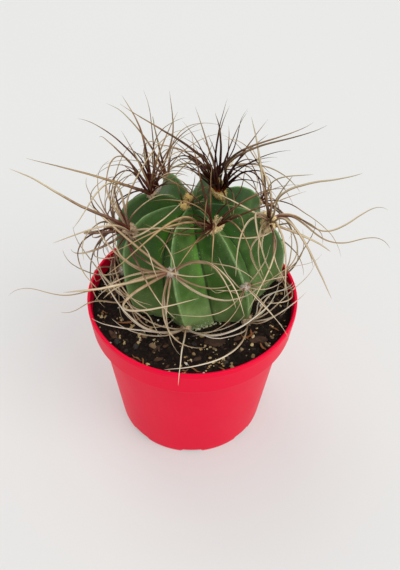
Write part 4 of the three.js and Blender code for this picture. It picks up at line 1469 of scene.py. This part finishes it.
def skin(settings):
    """Matt waxy skin: deep green faces, pale crest lines that are partly a painted highlight, fresh grooves,
    cork and fine flecks, with painted light on the right-facing flanks and painted shade in the grooves, on
    the left-facing flanks, at the crown and on the plant's left side.
    """
    s = Surface(
        "stem_skin", Roughness=0.5, Specular_IOR_Level=0.26, Subsurface_Weight=0.06,
        Subsurface_Scale=0.002, Subsurface_Radius=(0.4, 1.0, 0.25),
    )
    place = s.position()
    # How far from the crest, how far up, and how far round from one groove to the next.
    beside, rise, turn = s.attribute("crest"), s.attribute("rise"), s.attribute("turn")
    patch, fine = s.cloud(place, 42, 4, 0.6), s.cloud(place, 330, 3, 0.6)
    # Painted shade on the plant's left side (x below zero): less fresh, groove and cork colour there, no
    # painted light in the grooves, and a darker skin.
    left = s.step(s.part(place, "X"), 0.0, -0.026)
    up = s.step(rise, 0.1, 0.8, 0.6, 0.1)
    fresh = s.times(s.math("ADD", up, s.step(patch, 0.35, 0.7, -0.15, 0.4), clamp=True), s.less(left, 0.6))
    tint = s.mix(fresh, settings.skin, settings.fresh)
    # Young skin in the grooves, half as strong on the left-facing flanks and weaker on the plant's left
    # side: partly the skin's own colour, partly painted light and shade.
    dip = s.times(
        s.step(beside, 0.6, 0.98), s.step(rise, 0.3, 0.7), s.step(turn, -0.05, 0.05, 0.5, 1.0),
        s.less(left, 0.75), 0.6,
    )
    tint = s.mix(dip, tint, settings.groove)
    # Painted light: the right-facing side of each groove, up from the foot, is mixed towards the bright
    # groove colour, except on the plant's left side.
    painted_groove_light = s.times(s.step(turn, 0.72, 0.93), s.step(rise, 0.15, 0.6, 0.0, 0.7), s.less(left))
    tint = s.mix(painted_groove_light, tint, settings.bright)
    # Painted light: the right-facing flanks of each rib are mixed towards the fresh colour, and low down
    # towards cork.
    painted_light_right = s.times(s.step(turn, 0.03, 0.12), 0.3)
    tint = s.mix(painted_light_right, tint, settings.fresh)
    # A pale line along each crest, partly the skin's own and partly a painted highlight; its broad band is
    # stronger on the right-facing flanks as painted light.
    broad = s.times(s.step(beside, 0.21, 0.06), s.step(turn, 0.0, 0.03, 0.1, 0.34))
    tint = s.mix(broad, tint, settings.crest)
    edge = s.times(s.step(beside, 0.07, 0.04), s.step(fine, 0.3, 0.65, 0.5, 0.95))
    tint = s.mix(edge, tint, settings.crest)
    # Old corky skin towards the soil, with painted light: more of it low on the right-facing flanks, and
    # less on the plant's left side as painted shade.
    low = s.math("ADD", s.step(rise, 0.46, 0.08), s.times(painted_light_right, s.step(rise, 0.5, 0.2)))
    low = s.math("SUBTRACT", low, s.times(left, 0.45))
    cork = s.times(s.math("ADD", low, s.step(patch, 0.4, 0.65, -0.28, 0.24), clamp=True), 0.8)
    tint = s.mix(cork, tint, settings.cork)
    cells = s.add("ShaderNodeTexVoronoi", {"Vector": place, "Scale": 900.0, "Randomness": 1.0})
    drawn_share = s.add("ShaderNodeSeparateColor", {"Color": cells.outputs["Color"]})
    dots = s.times(
        s.step(cells.outputs["Distance"], 0.26, 0.12), s.step(drawn_share, 0.55, 0.75),
        s.step(patch, 0.35, 0.75, 0.05, 0.3),
    )
    tint = s.mix(dots, tint, settings.fleck)
    # Random tone, with painted shade: a dark line along each groove, darker left-facing flanks, a darker
    # crown and a darker left side of the plant.
    shade = s.times(
        s.step(fine, 0.2, 0.8, 0.86, 1.08), s.step(beside, 0.94, 0.995, 1.0, 0.38),
        s.step(turn, -0.05, 0.0, 0.9, 1.0), s.step(rise, 0.82, 0.97, 1.0, 0.62), s.less(left, 0.2),
    )
    s.set("Base Color", s.shaded(tint, shade))
    s.set("Roughness", s.step(patch, 0.2, 0.8, 0.44, 0.6))
    relief = s.math("ADD", s.times(fine, 0.6), s.times(dots, 0.8))
    s.bump(s.math("ADD", relief, s.times(s.cloud(place, 1900, 2), 0.25)), 0.35, 0.00025)
    return s.material


def flecks_tree():
    """Little woolly flecks that sit flat on a surface."""
    g = Shape("woolly_flecks", ("Density", "Smallest", "Largest"), ("Seed",))
    given = g.given
    spread = g.scatter(g.times(given["Density"], g.named("fleck")))
    tuft = g.add("GeometryNodeMeshIcoSphere", {"Radius": 0.5, "Subdivisions": 1})
    scale = g.scaled((1.0, 1.0, 0.5), g.random(given["Smallest"], given["Largest"], given["Seed"]))
    return g.end(g.instances(spread["Points"], tuft, spread["Rotation"], scale))


def fleck_share(mesh):
    """How thickly the flecks stand at each point of the stem: low down, and most on its front."""
    rise = np.zeros(len(mesh.vertices), np.float32)
    mesh.attributes["rise"].data.foreach_get("value", rise)
    places = np.array([v.co for v in mesh.vertices])
    patch = np.array([noise.noise(Vector(p) * 70) for p in places])
    x, y = (places[:, k] / MM - STEM_FOOT[k] for k in (0, 1))
    front = np.clip(1 - np.abs(np.degrees(np.arctan2(y, x)) - SCAR_AZIMUTH) / 20, 0, 1) ** 0.5
    low = np.clip(1 - rise / 0.16, 0, 1) ** 2
    scar = front * np.clip(1 - rise / 0.12, 0, 1)
    share = np.clip(low * (0.5 + 1.6 * patch) + 4 * scar * (0.8 + patch), 0, 3)
    return (share + 0.05 * np.clip(patch, 0, 1)) * (rise >= 0)


class CACTUS_OT_stem(bpy.types.Operator):
    """Grow the ribbed stem and its woolly flecks"""

    bl_idname = "cactus.stem"
    bl_label = "Ribbed stem"
    bl_options = {"REGISTER", "UNDO"}

    def execute(self, context):
        settings = context.scene.cactus.stem
        mesh = stem_mesh(settings)
        ground = mesh.copy()
        share = fleck_share(mesh).astype(np.float32)
        ground.attributes.new("fleck", "FLOAT", "POINT").data.foreach_set("value", share)
        set_piece("ribbed_stem", mesh, "stem", skin(settings))
        s = Surface("fleck_wool", Roughness=0.9)
        s.set("Base Color", s.mix(s.cloud(s.position(), 900, 2), settings.fleck, paint("B9BFA2")))
        values = {"Density": settings.flecks, "Smallest": 0.22 * MM, "Largest": 0.6 * MM, "Seed": 5}
        flecks = shaped(ground, flecks_tree(), {**values, "Material": s.material})
        set_piece("stem_flecks", flecks, "stem")
        return {"FINISHED"}


# Areoles and spines.


def spine_lines(spines, share, seed, taper_power, paler):
    """Lines for an areole's spines, with their girth, place along, tone and flat side."""
    points, edges, girth, along, tone, flat, pale = [], [], [], [], [], [], []
    draws = Draws(seed)
    for foot, settings in spines:
        path, side = spine_path(foot, settings, FINE_STEPS)
        path = np.vstack([path[0] - SUNK_ROOT * unit(path[1] - path[0]), path])
        t = np.concatenate([[0], np.arange(FINE_STEPS + 1) / FINE_STEPS])
        base = len(points)
        taper = np.maximum((1 - t) ** taper_power, BLUNT_TIP)
        heel = 1 - HEEL * np.exp(-t / HEEL_REACH)
        shade = draws.next()
        broad = 0.64 + 0.2 * draws.next() + 0.42 * min(max((settings[2] - 30) / 42, 0), 1)
        long = min(max((settings[2] - 46) / 25, 0), 1)
        points += list(path)
        girth += list(share * broad * taper * heel)
        along += list(t)
        tone += [shade] * len(path)
        pale += [min(paler, 0) + (0.14 + 2.6 * max(paler, 0)) * long] * len(path)
        flat += [side] * len(path)
        edges += [(base + k, base + k + 1) for k in range(len(path) - 1)]
    return mesh_of(
        "lines", np.array(points) * MM, edges=edges, girth=girth, along=along, tone=tone, pale=pale,
        flat=np.array(flat),
    )


def spines_tree():
    """Flattened, tapering spines along lines, with a little wandering."""
    g = Shape("curling_spines", ("Width", "Flatness", "Waviness", "Wave"), ("Sides",))
    given = g.given
    place = g.scaled(g.add("GeometryNodeInputPosition"), g.math("DIVIDE", 1.0, given["Wave"]))
    where = g.vector("ADD", place, g.scaled((3.1, 1.7, 5.3), g.named("tone")))
    ease = g.math("MINIMUM", g.times(g.named("along"), 4.0), 1.0)
    aside = g.wander(where, 1.0, 2.0, 0.6, g.times(given["Waviness"], ease))
    line = g.add("GeometryNodeMeshToCurve", {"Mesh": g.shifted(given["Geometry"], aside)})
    facing = {"Curve": line, "Normal": g.named("flat", "FLOAT_VECTOR")}
    turned = g.add("GeometryNodeSetCurveNormal", facing, mode="FREE")
    circle = g.circle(given["Sides"], given["Width"])
    oval = g.add("GeometryNodeTransform", {"Geometry": circle, "Scale": g.xyz(1.0, given["Flatness"], 1.0)})
    around = g.store(oval, "around", g.add("GeometryNodeSplineParameter").outputs["Factor"])
    body = {"Curve": turned, "Profile Curve": around, "Scale": g.named("girth"), "Fill Caps": True}
    return g.end(g.smooth(g.add("GeometryNodeCurveToMesh", body)))


def horn(name, root, tip, ember, pale, reach, gloss):
    """Horny spine finish: dark up to its reach, then paler to the tip, streaked along its length, with
    browner edges that are partly painted shade and a lighter middle as a painted highlight.
    """
    s = Surface(name, Roughness=0.5, Specular_IOR_Level=gloss)
    place = s.position()
    along, tone, around = s.attribute("along"), s.attribute("tone"), s.attribute("around")
    blotch = s.cloud(place, 150, 3, 0.6)
    where = s.math("ADD", along, s.times(s.math("SUBTRACT", tone, 0.5), 0.6))
    where = s.math("ADD", where, s.attribute("pale"))
    where = s.math("ADD", where, s.step(blotch, 0.3, 0.7, -0.12, 0.12), clamp=True)
    # The finishes that stay dark for longer are warmer between root and tip.
    warmth = (1.05, 0.95, 0.88, 1.0) if reach > 0.1 else (1.0, 0.99, 0.95, 1.0)
    middle = tuple(w * part for w, part in zip(warmth, blend(root, tip)))
    tint = s.ramp(
        where, (0.0, root), (reach, blend(root, tip, 0.12)), (reach + 0.2, middle), (reach + 0.42, tip),
        (1.0, dimmed(tip, 0.8)),
    )
    tint = s.mix(s.times(s.step(along, 0.12, 0.03), 0.85), tint, paint(ember))
    tint = s.mix(s.times(s.step(tone, 0.6, 0.95), 0.6), tint, paint(pale))
    lines = s.cloud(s.xyz(s.times(around, 7.0), s.times(along, 3.0), s.times(tone, 40.0)), 1.6, 3, 0.65)
    # The narrow edges of each spine are darker and browner and its flat faces a little lighter: partly the
    # spine's own brown edges, partly painted shade on the edges and a painted highlight in the middle.
    rim = s.math("ABSOLUTE", s.math("COSINE", s.times(around, 2 * math.pi)))
    shade = s.step(lines, 0.25, 0.75, 0.78, 1.14)
    edges = (s.times(shade, s.step(rim, 0.45, 0.98, 1.08, kept)) for kept in (0.58, 0.5, 0.44))
    s.set("Base Color", s.shaded(tint, *edges))
    s.set("Roughness", s.step(lines, 0.2, 0.8, 0.4, 0.65))
    s.bump(lines, 0.4, 0.00015)
    return s.material


def felt_pad(foot, depth, seed, share=1.0, aside=(0, 0)):
    """A lumpy cushion of felt on its areole, or aside of its middle."""
    rows, sides = 14, 28
    points, draws = [], Draws(seed)
    shift = Vector((draws.about(0, 50), draws.about(0, 50), 0))
    for polar in (math.pi * (j + 1) / (rows + 1) for j in range(rows)):
        for turn in all_round(sides):
            flat = math.sin(polar)
            ball = Vector((flat * math.cos(turn), flat * math.sin(turn), -math.cos(polar)))
            lump = 1 + 0.34 * noise.noise(ball * 2.4 + shift) + 0.16 * noise.noise(ball * 5 + shift)
            points.append(np.array(ball) * lump)
    points += [np.array((0, 0, -1.0)), np.array((0, 0, 1.0))]
    size = share * np.array([0.54 * foot["width"], 0.58 * foot["height"], depth])
    axes = np.array([foot["across"], foot["up"], foot["out"]])
    centre = foot["place"] - 0.1 * foot["out"] + aside[0] * foot["across"] + aside[1] * foot["up"]
    return (centre + (np.array(points) * size) @ axes) * MM, ring_faces(rows, sides)


def wool_tree():
    """Curved fibres all over a pad, kept together with it."""
    g = Shape("areole_wool", ("Fibre Length", "Fibre Width", "Density"), ("Seed",))
    given = g.given
    spread = g.scatter(given["Density"])
    curve = {"Resolution": 4, "Start": (0, 0, -0.15), "Middle": (0.05, 0, 0.6), "End": (0.6, 0.1, 0.85)}
    bow = g.add("GeometryNodeCurveQuadraticBezier", curve)
    long = given["Fibre Length"]
    drawn_out = g.add("GeometryNodeTransform", {"Geometry": bow, "Scale": g.xyz(long, long, long)})
    body = {"Curve": drawn_out, "Profile Curve": g.circle(3, given["Fibre Width"]), "Fill Caps": True}
    fibre = g.add("GeometryNodeCurveToMesh", body)
    lean = g.random((-0.7, -0.7, -3.2), (0.7, 0.7, 3.2), given["Seed"])
    turns = {"Rotation": spread["Rotation"], "Rotate By": lean}
    turn = g.add("FunctionNodeRotateRotation", turns, rotation_space="LOCAL")
    laid = g.instances(spread["Points"], fibre, turn, g.random(0.5, 1.15, given["Seed"]))
    return g.end(g.smooth(g.real(g.together(given["Geometry"], laid))))


def wool(name, tint):
    """Matted wool with lighter and darker locks."""
    s = Surface(name, Roughness=0.95, Sheen_Weight=0.35, Sheen_Roughness=0.5, Specular_IOR_Level=0.2)
    place = s.position()
    locks = s.cloud(place, 800, 3, 0.65)
    s.set("Base Color", s.ramp(locks, (0.28, dimmed(tint, 0.45)), (0.5, tint), (0.74, dimmed(tint, 1.35))))
    s.bump(s.cloud(place, 2400, 3, 0.7), 0.6, 0.0002)
    return s.material


class CACTUS_OT_areoles(bpy.types.Operator):
    """Set every areole with its felt and its curling spines"""

    bl_idname = "cactus.areoles"
    bl_label = "Areoles and spines"
    bl_options = {"REGISTER", "UNDO"}

    def execute(self, context):
        spine, felt = context.scene.cactus.spine, context.scene.cactus.felt
        # In the order of the ages: root, tip, root's own tint, palest tint, reach of the dark, gloss.
        horns = (
            horn("young_spines", spine.young_root, spine.young_tip, "66241A", "4A2A24", 0.34, 0.08),
            horn("grown_spines", spine.grown_root, spine.grown_tip, "6A3826", "BFA888", 0.14, 0.18),
            horn("old_spines", spine.old_root, spine.old_tip, "946850", "DDD0B8", 0.08, 0.22),
            horn("bleached_spines", spine.bleached_root, spine.bleached_tip, "A08A6C", "F0E8D8", 0.05, 0.25),
            horn("ember_spines", spine.ember_root, spine.young_tip, "C8481F", "2A1310", 0.42, 0.06),
        )
        kinds = ("yellow", "cream", "tan", "grey")
        wools = {kind: wool(kind + "_wool", getattr(felt, kind)) for kind in kinds}
        spine_values = {
            "Width": spine.width, "Flatness": spine.flatness, "Waviness": spine.waviness,
            "Wave": spine.wave, "Sides": spine.sides,
        }
        felt_values = {
            "Fibre Length": felt.fibre_length, "Fibre Width": felt.fibre_width, "Density": felt.density,
        }
        spine_shape, felt_shape = spines_tree(), wool_tree()

        def spines_of(spines, share, seed, finish, taper, paler):
            lines = spine_lines(spines, share, seed, taper, paler)
            return shaped(lines, spine_shape, {**spine_values, "Material": finish})

        def felt_of(pads, seed, finish):
            points, faces = [], []
            for own, own_faces in pads:
                faces += moved_on(own_faces, len(points))
                points += list(own)
            values = {**felt_values, "Seed": seed, "Material": finish}
            return shaped(mesh_of("pad", points, faces), felt_shape, values)

        areoles, crown = grow_spines()
        for k, (name, (foot, settings)) in enumerate(areoles.items()):
            age, kind = AREOLES[name][4:]
            look, kept, strength, paler = WEATHERED.get(name, (age, 1.0, 1.0, 0.0))
            share, taper = GIRTHS[age]
            own = [(foot, one) for one in settings]
            spines = spines_of(own, share * strength, 40 + k, horns[look], taper, paler)
            pads = [felt_pad(foot, FELT_DEPTH, 70 + k, kept)]
            for j, aside in enumerate(TALL_TUFTS.get(name, ())):
                pads.append(felt_pad(foot, TALL_DEPTH, 160 + 5 * k + j, TALL_SHARE, aside))
            pad = felt_of(pads, 100 + k, wools[kind])
            set_piece("felted_" + name, joined([spines, pad]), name)
        own = [(foot, one) for foot, settings in crown for one in settings]
        share, taper = CROWN_GIRTH
        spines = spines_of(own, share, 90, horns[YOUNG], taper, 0.0)
        pads = [felt_pad(foot, CROWN_DEPTH, 130 + k, CROWN_SHARE) for k, (foot, _) in enumerate(crown)]
        pad = felt_of(pads, 140, wools["yellow"])
        set_piece("felted_areole_crown", joined([spines, pad]), "areole_crown")
        return {"FINISHED"}


# The stage.


def lamp(name, watts, size, place):
    """A square soft light that looks at the plant."""
    light = bpy.data.lights.new(name, "AREA")
    light.shape, light.size, light.size_y = "RECTANGLE", size, size
    light.energy, light.color = watts, (1.0, 0.985, 0.96)
    holder = linked(name, light)
    holder.location = place
    holder.rotation_euler = (LAMP_AIM - Vector(place)).to_track_quat("-Z", "Y").to_euler()


def photo_camera():
    """A camera with the photo's view."""
    camera = linked("camera", bpy.data.cameras.new("camera"))
    camera.data.sensor_fit, camera.data.sensor_height = "VERTICAL", SENSOR
    camera.data.lens = FOCAL_PIXELS * SENSOR / PICTURE_HEIGHT
    camera.data.clip_start, camera.data.clip_end = 0.01, 10
    tilt, roll = math.radians(VIEW_TILT), math.radians(VIEW_ROLL)
    back = Vector((0, -math.cos(tilt), math.sin(tilt)))
    right = Vector((1, 0, 0))
    up = right.cross(-back)
    turned = right * math.cos(roll) + up * math.sin(roll)
    upright = up * math.cos(roll) - right * math.sin(roll)
    spot = VIEW_MIDDLE + back * VIEW_DISTANCE
    camera.matrix_world = Matrix.Translation(spot) @ Matrix((turned, upright, back)).transposed().to_4x4()
    return camera


class CACTUS_OT_stage(bpy.types.Operator):
    """Lay the pale floor and set the light and the camera"""

    bl_idname = "cactus.stage"
    bl_label = "Stage"
    bl_options = {"REGISTER", "UNDO"}

    def execute(self, context):
        scene, settings = context.scene, context.scene.cactus.stage
        side = FLOOR_REACH
        corners = [(-side, -side, 0), (side, -side, 0), (side, side, 0), (-side, side, 0)]
        floor = linked("pale_floor", mesh_of("floor", corners, [(0, 1, 2, 3)]))
        s = Surface(
            "paper", Roughness=0.9, Specular_IOR_Level=0.2, Emission_Color=(1, 1, 0.99, 1),
            Emission_Strength=0.31,
        )
        s.set("Base Color", s.mix(s.cloud(s.position(), 5, 2), settings.floor, dimmed(settings.floor, 0.97)))
        floor.data.materials.append(s.material)
        scene.world = bpy.data.worlds.new("soft_daylight")
        scene.world.use_nodes = True
        sky = scene.world.node_tree.nodes["Background"]
        sky.inputs["Color"].default_value = (0.965, 0.985, 1.0, 1.0)
        sky.inputs["Strength"].default_value = settings.sky
        lamp("window", settings.window, WINDOW_SIZE, WINDOW_PLACE)
        lamp("fill", settings.fill, FILL_SIZE, FILL_PLACE)
        scene.view_settings.view_transform = "Standard"
        scene.view_settings.look = "None"
        scene.camera = photo_camera()
        return {"FINISHED"}


STEPS = {"stage": "stage", "pot": "pot", "mix": "mix", "stem": "stem", "spine": "areoles", "felt": None}


class CACTUS_PT_sidebar(bpy.types.Panel):
    """Every step of the potted cactus and its settings"""

    bl_idname = "CACTUS_PT_sidebar"
    bl_label = "Potted cactus"
    bl_space_type = "VIEW_3D"
    bl_region_type = "UI"
    bl_category = "Cactus"

    def draw(self, context):
        for key, step in STEPS.items():
            box = self.layout.box()
            if step:
                box.operator("cactus." + step)
            group = getattr(context.scene.cactus, key)
            for name in type(group).__annotations__:
                box.prop(group, name)


CLASSES = (
    PotSettings, MixSettings, StemSettings, SpineSettings, FeltSettings, StageSettings, CactusSettings,
    CACTUS_OT_stage, CACTUS_OT_pot, CACTUS_OT_mix, CACTUS_OT_stem, CACTUS_OT_areoles, CACTUS_PT_sidebar,
)


def register():
    for item in CLASSES:
        bpy.utils.register_class(item)
    bpy.types.Scene.cactus = PointerProperty(type=CactusSettings)


def unregister():
    del bpy.types.Scene.cactus
    for item in reversed(CLASSES):
        bpy.utils.unregister_class(item)


def main():
    """Makes every piece in order."""
    register()
    bpy.ops.cactus.stage()
    bpy.ops.cactus.pot()
    bpy.ops.cactus.mix()
    bpy.ops.cactus.stem()
    bpy.ops.cactus.areoles()


if __name__ == "__main__":
    main()
